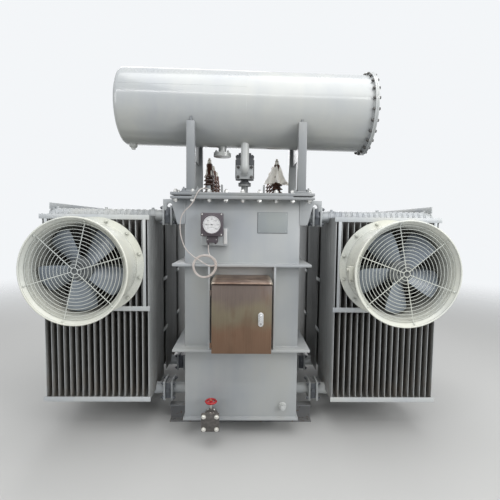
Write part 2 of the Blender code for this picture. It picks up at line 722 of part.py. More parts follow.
def mouth_reach(forward):
    """Radius of the mouth's inner side as made, straight between one ring of corners and the next."""
    step = (FAN_MOUTH_DEPTH - FAN_LIP) / MOUTH_STEPS
    ring = min(int(forward / step), MOUTH_STEPS - 1)
    near, far = mouth_radius(ring * step), mouth_radius((ring + 1) * step)
    return near + (forward / step - ring) * (far - near)


def polygon_reach(radius, steps, angle):
    """Distance from the axis to the flats of a turned piece, at an angle from its first flat."""
    step = 2 * pi / steps
    away = angle - step * round(angle / step)
    return radius * cos(step / 2) / cos(away)


def blade(turn):
    """One twisted blade, drawn through three stations along its radius."""
    root = HUB_RADIUS * BLADE_ROOT_SHARE

    def build(shape):
        rings = []
        for station in (0, 0.5, 1):
            radius = root + station * (BLADE_RADIUS - root)
            chord = BLADE_ROOT_CHORD + station * (BLADE_TIP_CHORD - BLADE_ROOT_CHORD)
            tilt = radians(BLADE_ROOT_PITCH + station * (BLADE_TIP_PITCH - BLADE_ROOT_PITCH))
            ring = []
            for along, across in ((-1, -1), (1, -1), (1, 1), (-1, 1)):
                run = along * chord / 2
                lift = across * BLADE_THICKNESS / 2
                sideways = run * cos(tilt) - lift * sin(tilt)
                forward = run * sin(tilt) + lift * cos(tilt)
                sag = radius - (radius ** 2 - sideways ** 2) ** 0.5 if radius > abs(sideways) else 0
                place = Vector((radius - sag * station, forward, sideways))
                ring.append(shape.verts.new(Matrix.Rotation(turn, 3, "Y") @ place))
            rings.append(ring)
        shape.faces.new(rings[0])
        shape.faces.new(rings[-1])
        for first, second in zip(rings, rings[1:]):
            for i in range(4):
                j = (i + 1) % 4
                shape.faces.new((first[i], first[j], second[j], second[i]))
    return build


def make_fans():
    """Two fans on the fronts of the front banks: shroud, guard, rotor and motor."""
    for name, side in SIDES:
        back = pivot(f"fan_{name}_back", (side * FAN_SIDE, FAN_BACK, TANK_TOP - FAN_DROP), ROOT)
        profile = [(radius, -forward) for radius, forward in shroud_profile()]
        solid(f"fan_shroud_{name}", FAN_PAINT, add_turned(profile, FAN_STEPS, "y"), back, smooth=True)

        motor_end = -MOTOR_FROM_FLANGE - MOTOR_LENGTH
        motor = add_turned([(0, -MOTOR_FROM_FLANGE), (MOTOR_RADIUS, -MOTOR_FROM_FLANGE),
                            (MOTOR_RADIUS, motor_end), (SHAFT_RADIUS, motor_end),
                            (SHAFT_RADIUS, motor_end - SHAFT_LENGTH), (0, motor_end - SHAFT_LENGTH)],
                           ROUND_STEPS, "y")
        reach, half = polygon_reach(FAN_DRUM_RADIUS - FAN_SHEET, FAN_STEPS, 0) - TOUCH, MOTOR_ARM_WIDTH / 2
        cross = [(reach, -half), (reach, half), (half, half), (half, reach), (-half, reach),
                 (-half, half), (-reach, half), (-reach, -half), (-half, -half), (-half, -reach),
                 (half, -reach), (half, -half)]
        arm_back = -MOTOR_FROM_FLANGE - MOTOR_ARM_THICKNESS
        arms = add_prism(cross, arm_back, arm_back - MOTOR_ARM_THICKNESS)
        solid(f"fan_motor_{name}", FAN_PAINT, motor, back, joined=[arms])

        hub_start = motor_end - SHAFT_LENGTH - TOUCH
        rotor = pivot(f"fan_{name}_axis", (0, hub_start - HUB_LENGTH / 2, 0), back)
        hub = add_cylinder(HUB_RADIUS, -HUB_LENGTH / 2, HUB_LENGTH / 2, ROUND_STEPS, "y")
        blades = [blade(2 * pi * count / BLADE_COUNT) for count in range(BLADE_COUNT)]
        solid(f"fan_rotor_{name}", FAN_PAINT, hub, rotor, joined=blades)

        plane = -(FAN_DEPTH - GUARD_FROM_LIP)
        half = GUARD_WIRE / 2
        rim = mouth_reach(FAN_MOUTH_DEPTH - GUARD_FROM_LIP - half)
        corner = half * sin(pi / FAN_STEPS)
        rings = []
        for ring_share in GUARD_RING_SHARES:
            radius = rim * ring_share
            section = [(radius - half, plane + half), (radius + half, plane + half),
                       (radius + half, plane - half), (radius - half, plane - half)]
            rings.append(add_turned(section, GUARD_RING_STEPS, "y"))
        first_turn = GUARD_TURN_LEFT if side < 0 else GUARD_TURN_RIGHT
        spokes = []
        for count, bar_share in enumerate(GUARD_BAR_SHARES):
            angle = radians(first_turn) + pi * count / len(GUARD_BAR_SHARES)
            turn = Matrix.Rotation(-angle, 4, "Y")
            thin = half * bar_share
            reach = polygon_reach(rim, FAN_STEPS, angle) - corner - TOUCH
            bar = add_box((-reach, plane - thin, -thin), (reach, plane + thin, thin))

            def spoke(shape, bar=bar, turn=turn):
                bar(shape)
                bmesh.ops.transform(shape, matrix=turn, verts=shape.verts)
            spokes.append(spoke)
        solid(f"fan_guard_{name}", FAN_PAINT, add_all(*rings), back, joined=spokes)


def conservator_pivot():
    """The conservator's middle, tilted so that its flanged end is the lower one."""
    middle = pivot("conservator_middle", (0, CONSERVATOR_BACK, COVER_TOP + CONSERVATOR_RISE), ROOT)
    middle.rotation_euler = (0, radians(CONSERVATOR_TILT), 0)
    return middle


def make_conservator():
    """Rolled shell with a welded left end, a ring flange and a bolted cover at the right."""
    middle = conservator_pivot()
    outer = CONSERVATOR_RADIUS
    inner = outer - CONSERVATOR_SHEET
    right = CONSERVATOR_RIGHT
    left = -CONSERVATOR_LEFT
    profile = [(0, left), (outer, left), (outer, right - END_RING_THICKNESS),
               (END_RING_RADIUS, right - END_RING_THICKNESS), (END_RING_RADIUS, right), (inner, right),
               (inner, left + CONSERVATOR_SHEET), (0, left + CONSERVATOR_SHEET)]
    middle_of_sheet = -inner - CONSERVATOR_SHEET / 2
    sump = add_turned([(0, 0), (SUMP_RADIUS, 0), (SUMP_RADIUS / 2, -SUMP_DEPTH), (0, -SUMP_DEPTH)],
                      SMALL_STEPS, "z", (-SUMP_FROM_MIDDLE, 0, middle_of_sheet))
    start = -outer - FILL_STUB_DROP
    flange_top = start + FILL_FLANGE_THICKNESS
    stub = add_turned([(0, middle_of_sheet), (FILL_STUB_RADIUS, middle_of_sheet),
                       (FILL_STUB_RADIUS, flange_top), (FILL_FLANGE_RADIUS, flange_top),
                       (FILL_FLANGE_RADIUS, start), (0, start)],
                      ROUND_STEPS, "z", (-FILL_STUB_FROM_MIDDLE, 0, 0))
    solid("conservator_shell", TANK_PAINT, add_turned(profile, CONSERVATOR_STEPS, "x"), middle,
          joined=[sump, stub], smooth=True)
    seat = right + TOUCH
    gauge_seat = seat + END_COVER_THICKNESS
    dome = [(0, seat), (END_RING_RADIUS, seat), (END_RING_RADIUS, gauge_seat),
            (outer * DOME_FOOT_SHARE, gauge_seat), (outer * DOME_TOP_SHARE, gauge_seat + END_DOME),
            (0, gauge_seat + END_DOME)]
    solid("conservator_end_cover", TANK_PAINT, add_turned(dome, CONSERVATOR_STEPS, "x"), middle, smooth=True)
    start = gauge_seat + END_DOME + TOUCH
    gauge = [(0, start), (GAUGE_RADIUS, start), (GAUGE_RADIUS, start + GAUGE_DEPTH * GAUGE_SIDE_SHARE),
             (GAUGE_RADIUS * GAUGE_FACE_SHARE, start + GAUGE_DEPTH), (0, start + GAUGE_DEPTH)]
    solid("oil_level_gauge", FAN_PAINT, add_turned(gauge, ROUND_STEPS, "x", (0, 0, -GAUGE_DROP)),
          middle, smooth=True)


def tilted_barrel(shape):
    """The conservator's outside with the touching gap, in the tank's frame."""
    reach = CONSERVATOR_LEFT + CONSERVATOR_RIGHT
    add_cylinder(CONSERVATOR_RADIUS + TOUCH, -reach / 2, reach / 2, CONSERVATOR_STEPS, "x")(shape)
    place = Matrix.Translation((0, CONSERVATOR_BACK, COVER_TOP + CONSERVATOR_RISE))
    tilt = Matrix.Rotation(radians(CONSERVATOR_TILT), 4, "Y")
    bmesh.ops.transform(shape, matrix=place @ tilt, verts=shape.verts)


def make_supports():
    """Two trestles on the cover, each with two posts, a saddle web and its foot plates."""
    foot = COVER_TOP + TOUCH
    top = COVER_TOP + POST_RISE
    for name, middle in (("left", -SUPPORT_LEFT), ("right", SUPPORT_RIGHT)):
        shapes = []
        ends = (CONSERVATOR_BACK - POST_SPREAD / 2, CONSERVATOR_BACK + POST_SPREAD / 2)
        half = POST_SIZE / 2
        posts = [add_box((middle - half, back - half, foot + FOOT_THICKNESS / 2),
                         (middle + half, back + half, top)) for back in ends]
        feet = []
        for back, inward in zip(ends, (1, -1)):
            near, far = sorted((back - inward * half, back + inward * (FOOT_LENGTH - half)))
            feet.append(add_box((middle - FOOT_LENGTH / 2, near - FOOT_THICKNESS, foot),
                                (middle + FOOT_LENGTH / 2, far + FOOT_THICKNESS, foot + FOOT_THICKNESS)))
        shapes.append(add_all(*feet))
        web = add_box((middle - SADDLE_THICKNESS / 2, ends[0], COVER_TOP + SADDLE_RISE),
                      (middle + SADDLE_THICKNESS / 2, ends[1], top))
        shapes.append(web)
        solid(f"conservator_support_{name}", TANK_PAINT, add_all(*posts), joined=shapes, cut=[tilted_barrel])


def make_relay():
    """Pipe from the conservator, bolted flange, relay body and its riser on the cover."""
    level = COVER_TOP + RELAY_RISE
    upright = add_cylinder(RELAY_PIPE_RADIUS, level - RELAY_PIPE_RADIUS / 2, COVER_TOP + CONSERVATOR_RISE,
                           SMALL_STEPS, "z", (RELAY_SIDE, RELAY_PIPE_BACK))
    flange_start = RELAY_PIPE_BACK + RELAY_ELBOW_REACH
    elbow = add_cylinder(RELAY_PIPE_RADIUS, RELAY_PIPE_BACK, flange_start + RELAY_FLANGE_THICKNESS / 2,
                         SMALL_STEPS, "y", (RELAY_SIDE, level))
    half_width, half_height = RELAY_FLANGE_WIDTH / 2, RELAY_FLANGE_HEIGHT / 2
    flange = add_box((RELAY_SIDE - half_width, flange_start, level - half_height),
                     (RELAY_SIDE + half_width, flange_start + RELAY_FLANGE_THICKNESS, level + half_height))
    solid("relay_pipe", TANK_PAINT, upright, joined=[elbow, flange], cut=[tilted_barrel])
    start = flange_start + RELAY_FLANGE_THICKNESS + TOUCH
    end = start + RELAY_BODY_DEPTH
    bottom = level - RELAY_BODY_DROP
    body = add_box((RELAY_SIDE - RELAY_BODY_WIDTH / 2, start, bottom),
                   (RELAY_SIDE + RELAY_BODY_WIDTH / 2, end, level + RELAY_BODY_TOP))
    middle = (RELAY_SIDE, (start + end) / 2)
    neck = add_cylinder(RELAY_NECK_RADIUS, bottom - RELAY_NECK_HEIGHT, bottom + OVERRUN, SMALL_STEPS, "z",
                        middle)
    solid("gas_relay", DARK_PAINT, body, joined=[neck])


def make_bushings():
    """A row of three bushings along each side of the cover, and the film over the front right one."""
    foot = COVER_TOP + TOUCH
    outline = [(BUSHING_RADIUS * across, BUSHING_HEIGHT * up) for across, up in BUSHING_SHARES]
    profile = [(0, BUSHING_HEIGHT)] + outline[::-1] + [(0, 0)]
    for kind, side in (("high_voltage", -1), ("low_voltage", 1)):
        for count in range(BUSHING_COUNT):
            place = (side * BUSHING_SIDE, BUSHING_FIRST + count * BUSHING_PITCH, foot)
            solid(f"{kind}_bushing_{count + 1}", PORCELAIN,
                  add_turned(profile, BUSHING_STEPS, "z", place), smooth=True)
    low = foot + WRAP_LEVEL
    under = foot + BUSHING_HEIGHT + TOUCH
    high = under + 2 * WRAP_SHEET
    profile = [(0, high), (WRAP_TOP_RADIUS, high), (WRAP_FOOT_RADIUS, low),
               (WRAP_FOOT_RADIUS - WRAP_SHEET, low), (WRAP_TOP_RADIUS - WRAP_SHEET, under), (0, under)]
    solid("bushing_film", FILM,
          add_turned(profile, BUSHING_STEPS, "z", (BUSHING_SIDE, BUSHING_FIRST, 0)), smooth=True)


def make_cabinet():
    """Sheet-steel control cabinet between the ribs, its sloping roof, door and lock."""
    half = CABINET_WIDTH / 2
    back = -TOUCH - CABINET_RAIL
    front = back - CABINET_DEPTH
    low = TANK_TOP - CABINET_DROP
    high = low + CABINET_HEIGHT
    outer = add_box((-half, front, low), (half, back, high))
    inside = add_box((-half + CABINET_SHEET, front - OVERRUN, low + CABINET_SHEET),
                     (half - CABINET_SHEET, back - CABINET_SHEET, high - CABINET_SHEET))
    rails = [add_box((-half, back - CABINET_SHEET / 2, level), (half, -TOUCH, level + CABINET_RAIL_HEIGHT))
             for level in (low + CABINET_RAIL_HEIGHT, high - 2 * CABINET_RAIL_HEIGHT)]
    door_back = front - DOOR_GAP
    door_front = door_back - DOOR_THICKNESS
    hinge_side = -half - HINGE_OUT
    hinge_front = (door_back + door_front) / 2
    hinge_levels = (low + HINGE_FROM_END, high - HINGE_FROM_END)
    leaves, knuckles = [], []
    for level in hinge_levels:
        knuckle_high = level - TOUCH
        knuckle_low = level - HINGE_LENGTH / 2
        knuckles.append(add_cylinder(HINGE_RADIUS, knuckle_low, knuckle_high, SMALL_STEPS, "z",
                                     (hinge_side, hinge_front)))
        leaves.append(add_box((hinge_side - HINGE_LEAF / 2, hinge_front, knuckle_low),
                              (hinge_side + HINGE_LEAF / 2, front + HINGE_LENGTH, knuckle_high)))
    tongues = [add_box((hinge_side, front + OVERRUN, level - HINGE_LENGTH / 2),
                       (-half + CABINET_SHEET / 2, front + HINGE_LENGTH, level - TOUCH))
               for level in hinge_levels]
    solid("cabinet_body", BRONZE_STEEL, outer,
          joined=[add_all(*rails), add_all(*tongues), add_all(*leaves), add_all(*knuckles)], cut=[inside])

    side = half + ROOF_SIDE_OVERHANG
    nose = door_front - ROOF_OVERHANG
    seat = high + TOUCH
    outline = [(-TOUCH, seat), (-TOUCH, seat + ROOF_RISE + ROOF_SHEET), (nose, seat + ROOF_SHEET + ROOF_LIP),
               (nose, seat + ROOF_SHEET), (door_back, seat)]
    solid("cabinet_roof", BRONZE_STEEL, add_prism(outline, -side, side, "x"))

    door_low = low + DOOR_EDGE
    door_high = high - DOOR_EDGE
    hinge = pivot("cabinet_door_axis", (hinge_side, hinge_front, 0), ROOT)
    slab = add_box((HINGE_OUT, -DOOR_THICKNESS / 2, door_low),
                   (HINGE_OUT + CABINET_WIDTH, DOOR_THICKNESS / 2, door_high))
    lock_middle = HINGE_OUT + CABINET_WIDTH - LOCK_FROM_EDGE
    lock_level = (door_low + door_high) / 2 + LOCK_ABOVE_MIDDLE
    lock_front = -DOOR_THICKNESS / 2 - LOCK_THICKNESS
    lock = add_box((lock_middle - LOCK_WIDTH / 2, lock_front, lock_level - LOCK_HEIGHT / 2),
                   (lock_middle + LOCK_WIDTH / 2, 0, lock_level + LOCK_HEIGHT / 2))
    door_leaves, door_knuckles = [], []
    for level in hinge_levels:
        top = level + HINGE_LENGTH / 2
        door_knuckles.append(add_cylinder(HINGE_RADIUS, level, top, SMALL_STEPS, "z"))
        door_leaves.append(add_box((0, -HINGE_LEAF / 2, level), (HINGE_OUT * 2, HINGE_LEAF / 2, top)))
    solid("cabinet_door", BRONZE_STEEL, slab, hinge,
          joined=[lock, add_all(*door_leaves), add_all(*door_knuckles)])

    turn_level = lock_level - HANDLE_PIVOT_DROP
    handle = pivot("cabinet_handle_axis", (lock_middle, lock_front - TOUCH, turn_level), hinge)
    lever_back = -HANDLE_CLEAR
    lever = add_box((-HANDLE_WIDTH / 2, lever_back - HANDLE_THICKNESS, -HANDLE_WIDTH / 2),
                    (HANDLE_WIDTH / 2, lever_back, HANDLE_LENGTH))
    pin = add_cylinder(HANDLE_PIVOT_RADIUS, lever_back - HANDLE_THICKNESS / 2, 0, SMALL_STEPS, "y")
    solid("cabinet_handle", STEEL, lever, handle, joined=[pin])


def make_thermometer():
    """Bracket on the front wall, dial case with its junction box, and the capillary."""
    back = -TOUCH
    front = -BRACKET_OUT
    low = TANK_TOP - BRACKET_DROP
    high = low + BRACKET_HEIGHT
    left = -BRACKET_SIDE - BRACKET_WIDTH / 2
    right = left + BRACKET_WIDTH
    outline = [(left, back), (left, front), (right, front), (right, back), (right - BRACKET_SHEET, back),
               (right - BRACKET_SHEET, front + BRACKET_SHEET), (left + BRACKET_SHEET, front + BRACKET_SHEET),
               (left + BRACKET_SHEET, back)]
    solid("thermometer_bracket", TANK_PAINT, add_prism(outline, low, high, "z"))

    middle = -THERMOMETER_SIDE
    case_back = front - TOUCH
    case_front = case_back - THERMOMETER_DEPTH
    case_low = TANK_TOP - THERMOMETER_DROP
    case = add_box((middle - THERMOMETER_WIDTH / 2, case_front, case_low),
                   (middle + THERMOMETER_WIDTH / 2, case_back, case_low + THERMOMETER_HEIGHT))
    bezel = add_cylinder(BEZEL_RADIUS, case_front - BEZEL_DEPTH, case_front + OVERRUN, COIL_STEPS, "y",
                         (middle, case_low + THERMOMETER_HEIGHT / 2))
    junction_low = case_low - JUNCTION_HEIGHT
    junction = add_box((middle - JUNCTION_WIDTH / 2, case_back - JUNCTION_DEPTH, junction_low),
                       (middle + JUNCTION_WIDTH / 2, case_back, case_low + OVERRUN))
    gland_side, gland_front, _ = CAPILLARY_DOWN[0]
    gland = add_cylinder(GLAND_RADIUS, junction_low - GLAND_LENGTH, junction_low + OVERRUN, SMALL_STEPS, "z",
                         (gland_side, gland_front))
    solid("oil_thermometer", GREY_PLASTIC, case, joined=[bezel, junction, gland])

    outer = COIL_RADIUS
    inner = outer - COIL_BAND
    back = -BAND_OUT - TOUCH
    section = [(outer, back), (outer, back - COIL_THICKNESS), (inner, back - COIL_THICKNESS), (inner, back)]
    solid("capillary_coil", WHITE_WIRE,
          add_turned(section, COIL_STEPS, "y", (-COIL_MIDDLE_SIDE, 0, TANK_TOP - COIL_DROP)))
    for name, points in (("capillary_down", CAPILLARY_DOWN), ("capillary_up", CAPILLARY_UP)):
        line = bpy.data.curves.new(name, "CURVE")
        line.dimensions = "3D"
        line.bevel_depth = CAPILLARY_RADIUS
        line.bevel_resolution = 2
        line.use_fill_caps = True
        spline = line.splines.new("POLY")
        spline.points.add(len(points) - 1)
        for point, place in zip(spline.points, points):
            point.co = (*place, 1)
        line.materials.append(finish(name, *WHITE_WIRE))
        link(name, line, ROOT)


def make_front_fittings():
    """Name plate, drain valve with its handwheel, and the sampling valve."""
    low = TANK_TOP - PLATE_SIGN_DROP
    solid("name_plate", TANK_PAINT,
          add_box((PLATE_SIDE - PLATE_SIGN_WIDTH / 2, -TOUCH - PLATE_SIGN_THICKNESS, low),
                  (PLATE_SIDE + PLATE_SIGN_WIDTH / 2, -TOUCH, low + PLATE_SIGN_HEIGHT)))

    level = BASE_HEIGHT + DRAIN_LEVEL
    middle = -DRAIN_SIDE
    pipe_end = -BOTTOM_LIP - DRAIN_PIPE_LENGTH
    pipe = add_cylinder(DRAIN_PIPE_RADIUS, pipe_end, -TOUCH, ROUND_STEPS, "y", (middle, level))
    half = DRAIN_BODY / 2
    body_end = pipe_end - DRAIN_BODY_LENGTH
    body = add_box((middle - half, body_end, level - half), (middle + half, pipe_end + OVERRUN, level + half))
    half = DRAIN_FLANGE / 2
    flange_end = body_end - 2 * DRAIN_FLANGE_THICKNESS
    flange = add_box((middle - half, flange_end, level - half),
                     (middle + half, body_end + OVERRUN, level + half))
    wheel_back = (pipe_end + body_end) / 2
    bonnet_low = level + DRAIN_BODY / 2 - OVERRUN
    bonnet_high = bonnet_low + DRAIN_BONNET_HEIGHT
    wheel_low = level + WHEEL_LEVEL
    bonnet = add_turned([(0, wheel_low - TOUCH), (STEM_RADIUS, wheel_low - TOUCH),
                         (STEM_RADIUS, bonnet_high), (DRAIN_BONNET_RADIUS, bonnet_high),
                         (DRAIN_BONNET_RADIUS, bonnet_low), (0, bonnet_low)],
                        SMALL_STEPS, "z", (middle, wheel_back, 0))
    solid("drain_valve", DARK_PAINT, pipe, joined=[body, flange, bonnet])

    axis = pivot("drain_wheel_axis", (middle, wheel_back, wheel_low), ROOT)
    rim = WHEEL_RADIUS - 2 * WHEEL_RIM
    profile = [(0, WHEEL_HUB_HEIGHT), (WHEEL_HUB_RADIUS, WHEEL_HUB_HEIGHT),
               (WHEEL_HUB_RADIUS, WHEEL_WEB * 2), (rim, WHEEL_WEB * 2), (rim, WHEEL_RIM * 2),
               (WHEEL_RADIUS, WHEEL_RIM * 2), (WHEEL_RADIUS, 0), (rim, 0), (rim, WHEEL_WEB),
               (WHEEL_HUB_RADIUS, WHEEL_WEB), (WHEEL_HUB_RADIUS, 0), (0, 0)]
    solid("drain_handwheel", RED, add_turned(profile, WHEEL_STEPS, "z"), axis, smooth=True)

    end = -SAMPLE_BOSS_LENGTH - TOUCH
    plug = [(0, -TOUCH), (SAMPLE_BOSS_RADIUS, -TOUCH), (SAMPLE_BOSS_RADIUS, end),
            (SAMPLE_PLUG_RADIUS, end), (SAMPLE_PLUG_RADIUS, end - SAMPLE_PLUG_LENGTH),
            (0, end - SAMPLE_PLUG_LENGTH)]
    solid("sampling_valve", TANK_PAINT,
          add_turned(plug, SMALL_STEPS, "y", (SAMPLE_SIDE, 0, BASE_HEIGHT + SAMPLE_LEVEL)))


make_base()
make_tank()
make_rim_and_cover()
make_bands()
make_lugs()
make_radiators()
make_tie_bars()
make_front_frames()
make_fans()
make_conservator()
make_supports()
make_relay()
make_bushings()
make_cabinet()
make_thermometer()
make_front_fittings()
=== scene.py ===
# The looks of an oil-filled power transformer, piece by piece in the order in which it is put together.
# Metres, +Z up. The end with the cabinet faces -Y.
import json
from math import cos, pi, radians, sin, tau

import bmesh
import bpy
from mathutils import Matrix, Vector, noise

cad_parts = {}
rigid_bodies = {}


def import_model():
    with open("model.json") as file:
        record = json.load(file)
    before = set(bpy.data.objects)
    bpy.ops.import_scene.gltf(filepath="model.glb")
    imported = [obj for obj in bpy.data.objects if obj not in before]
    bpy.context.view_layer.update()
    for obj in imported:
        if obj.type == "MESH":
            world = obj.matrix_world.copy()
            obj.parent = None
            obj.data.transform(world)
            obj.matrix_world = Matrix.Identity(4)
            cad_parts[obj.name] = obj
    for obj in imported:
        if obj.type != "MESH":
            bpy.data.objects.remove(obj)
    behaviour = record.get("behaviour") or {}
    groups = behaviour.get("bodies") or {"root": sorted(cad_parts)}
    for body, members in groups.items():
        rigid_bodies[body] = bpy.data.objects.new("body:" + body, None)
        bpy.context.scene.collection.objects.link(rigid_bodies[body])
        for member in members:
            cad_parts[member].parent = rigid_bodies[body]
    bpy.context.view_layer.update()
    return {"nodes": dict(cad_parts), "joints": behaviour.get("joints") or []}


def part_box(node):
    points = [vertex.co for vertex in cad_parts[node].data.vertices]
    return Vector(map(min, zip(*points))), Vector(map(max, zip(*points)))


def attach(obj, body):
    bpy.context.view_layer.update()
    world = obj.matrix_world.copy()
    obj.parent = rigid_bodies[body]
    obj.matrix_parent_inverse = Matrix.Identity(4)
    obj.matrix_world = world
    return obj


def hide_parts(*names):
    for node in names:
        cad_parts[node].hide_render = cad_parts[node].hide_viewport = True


for old in list(bpy.data.objects):
    bpy.data.objects.remove(old, do_unlink=True)

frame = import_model()

# The viewer stands at eye height three and a half metres in front of the cabinet's end, turned a little to
# the right and down, with a wide-angle lens that takes in both fans.
EYE = (0.002, -3.55, 1.62)
TURN_RIGHT = 0.0198
TURN_DOWN = 0.0687
ROLL = 0.0113
LENS = 27.05

camera = bpy.data.objects.new("camera", bpy.data.cameras.new("camera"))
bpy.context.scene.collection.objects.link(camera)
camera.data.lens = LENS
camera.data.sensor_width = 36
camera.data.clip_end = 200
facing = Matrix.Rotation(-TURN_RIGHT, 4, "Z") @ Matrix.Rotation(pi / 2 - TURN_DOWN, 4, "X")
camera.matrix_world = Matrix.Translation(EYE) @ facing @ Matrix.Rotation(ROLL, 4, "Z")
bpy.context.scene.camera = camera
bpy.context.scene.view_settings.view_transform = "Standard"


# A plain pale floor and backdrop under a soft even light, with large lamps above, in front and behind. The
# narrow strip lamp draws a thin bright line along the conservator.
FLOOR_SIZE = 80
FLOOR_COLOUR = (0.54, 0.54, 0.53)
SKY_COLOUR = (0.9, 0.92, 0.94)
SKY_LIGHT = 0.36
LAMPS = (
    ("lamp_above", (0.6, -1.9, 6.2), (0, 0.2, 1.5), (5.0, 5.0), 235),
    ("lamp_strip", (0.0, -4.6, 4.9), (0, -0.57, 2.49), (6.5, 0.22), 52),
    ("lamp_left", (-4.8, -5.2, 3.4), (-0.2, 0, 1.2), (3.0, 3.0), 80),
    ("lamp_right", (5.0, -5.0, 3.4), (0.3, 0, 1.0), (3.0, 3.0), 205),
    ("lamp_behind", (-1.5, 6.0, 4.8), (0, 0.4, 1.3), (4.0, 4.0), 190),
)
FLOOR_CLEAR = (3.6, 10.0)


class Signal:
    """One output of a shader node. Sums, differences and products of signals become Math nodes."""

    def __init__(self, tree, socket=None):
        self.tree = tree
        self.socket = socket

    def node(self, kind, inputs=None, output=0, **settings):
        """Any node: its settings first, then the values or links of its sockets."""
        made = self.tree.nodes.new("ShaderNode" + kind)
        for name, value in settings.items():
            setattr(made, name, value)
        for name, value in (inputs or {}).items():
            if isinstance(value, Signal):
                self.tree.links.new(value.socket, made.inputs[name])
            else:
                made.inputs[name].default_value = value
        return Signal(self.tree, made.outputs[output])

    def math(self, operation, *values):
        """A Math node on this signal and others, or on numbers."""
        return self.node("Math", dict(enumerate(values)), operation=operation)

    def __add__(self, other):
        return self.math("ADD", self, other)

    __radd__ = __add__

    def __sub__(self, other):
        return self.math("SUBTRACT", self, other)

    def __rsub__(self, other):
        return self.math("SUBTRACT", other, self)

    def __mul__(self, other):
        return self.math("MULTIPLY", self, other)

    __rmul__ = __mul__

    def between(self, low, high):
        """0 at low and below, 1 at high and above, eased in between."""
        ends = {"Value": self, "From Min": low, "From Max": high}
        return self.node("MapRange", ends, interpolation_type="SMOOTHSTEP")

    def mix(self, first, second):
        """The first colour where this signal is 0, the second where it is 1."""
        ends = [end if isinstance(end, Signal) else (*end, 1) for end in (first, second)]
        return self.node("Mix", {0: self, 6: ends[0], 7: ends[1]}, output=2, data_type="RGBA")


world = bpy.data.worlds.new("studio")
world.use_nodes = True
bpy.context.scene.world = world
rays = Signal(world.node_tree)
straight = rays.node("LightPath", output="Is Camera Ray")
mirrored = rays.node("LightPath", output="Is Glossy Ray")
through = rays.node("LightPath", output="Is Transmission Ray")
looked_at = straight.math("MINIMUM", straight + mirrored + through, 1)
strength = SKY_LIGHT + looked_at * (1 - SKY_LIGHT)
sky = world.node_tree.nodes["Background"]
sky.inputs["Color"].default_value = (*SKY_COLOUR, 1)
world.node_tree.links.new(strength.socket, sky.inputs["Strength"])
for lamp_name, place, target, sides, power in LAMPS:
    light = bpy.data.lights.new(lamp_name, "AREA")
    light.energy = power
    light.shape = "RECTANGLE"
    light.size, light.size_y = sides
    lamp = bpy.data.objects.new(lamp_name, light)
    bpy.context.scene.collection.objects.link(lamp)
    lamp.location = place
    lamp.rotation_euler = (Vector(target) - Vector(place)).to_track_quat("-Z", "Y").to_euler()

ground_mesh = bpy.data.meshes.new("floor")
half = FLOOR_SIZE / 2
ground_corners = [(-half, -half, 0), (half, -half, 0), (half, half, 0), (-half, half, 0)]
ground_mesh.from_pydata(ground_corners, [], [(0, 1, 2, 3)])
ground = bpy.data.objects.new("floor", ground_mesh)
bpy.context.scene.collection.objects.link(ground)
ground_finish = bpy.data.materials.new("floor")
ground_finish.use_nodes = True
ground_shader = ground_finish.node_tree.nodes["Principled BSDF"]
ground_shader.inputs["Base Color"].default_value = (*FLOOR_COLOUR, 1)
ground_shader.inputs["Roughness"].default_value = 0.7
spot = Signal(ground_finish.node_tree).node("TexCoord", output="Object")
away = spot.node("VectorMath", {0: spot}, output="Value", operation="LENGTH")
seen = 1 - away.between(*FLOOR_CLEAR)
ground_finish.node_tree.links.new(seen.socket, ground_shader.inputs["Alpha"])
ground_mesh.materials.append(ground_finish)


# The base: two rolled steel channels across under the tank, with a hole at each end for an anchor bolt.
# They are welded to the tank's bottom plate and painted with it, and gather dust and scuffs near the ground.
# The channels' grey is darker than the tank's: painted shade from the tank above them.
SHADED_BASE_GREY = (0.15, 0.165, 0.185)
WELD_SIZE = 0.005
LIGHT_WELD = 0.0045
WELD_RIPPLE = 0.009
BASE_WELD_REACH = 0.415
BASE_WELD_SINK = 0.002


def new_finish(name, metallic=0.0):
    """A material, its shader, and a signal to start from: the place on the object, in metres."""
    material = bpy.data.materials.new(name)
    material.use_nodes = True
    shader = material.node_tree.nodes["Principled BSDF"]
    shader.inputs["Metallic"].default_value = metallic
    return material, shader, Signal(material.node_tree).node("TexCoord", output="Object")


def feed(shader, **signals):
    """Link signals to the shader; an underscore stands for a space in a socket's name."""
    for name, signal in signals.items():
        signal.tree.links.new(signal.socket, shader.inputs[name.replace("_", " ")])


def emboss(shader, relief, strength, depth):
    """Fine relief that catches the light, from a signal."""
    feed(shader, Normal=relief.node("Bump", {"Strength": strength, "Distance": depth, "Height": relief}))


def grain(here, scale, detail=3.0, stretch=(1, 1, 1)):
    """Cloudy noise from 0 to 1, drawn out along an axis where its factor is small."""
    spread = here.node("Mapping", {"Vector": here, "Scale": stretch})
    return here.node("TexNoise", {"Vector": spread, "Scale": scale, "Detail": detail, "Roughness": 0.55})


def facing_up(here):
    """1 on faces that look at the sky and 0 on upright ones."""
    normal = here.node("NewGeometry", output="Normal")
    return here.node("SeparateXYZ", {0: normal}, output="Z").between(0.45, 0.95)


def height(here, low, high):
    """0 at the lower level and 1 at the higher one."""
    return here.node("SeparateXYZ", {0: here}, output="Z").between(low, high)


def shelter(here, reach, deep, open_air):
    """1 deep between pieces and 0 where nothing stands within reach; it masks painted shade."""
    free = here.node("AmbientOcclusion", {"Distance": reach}, output="AO", samples=4)
    return 1 - free.between(deep, open_air)


def shade(colour, *factors):
    """A colour times one factor, or times a factor for each of red, green and blue."""
    return tuple(c * f for c, f in zip(colour, factors * 3 if len(factors) == 1 else factors))


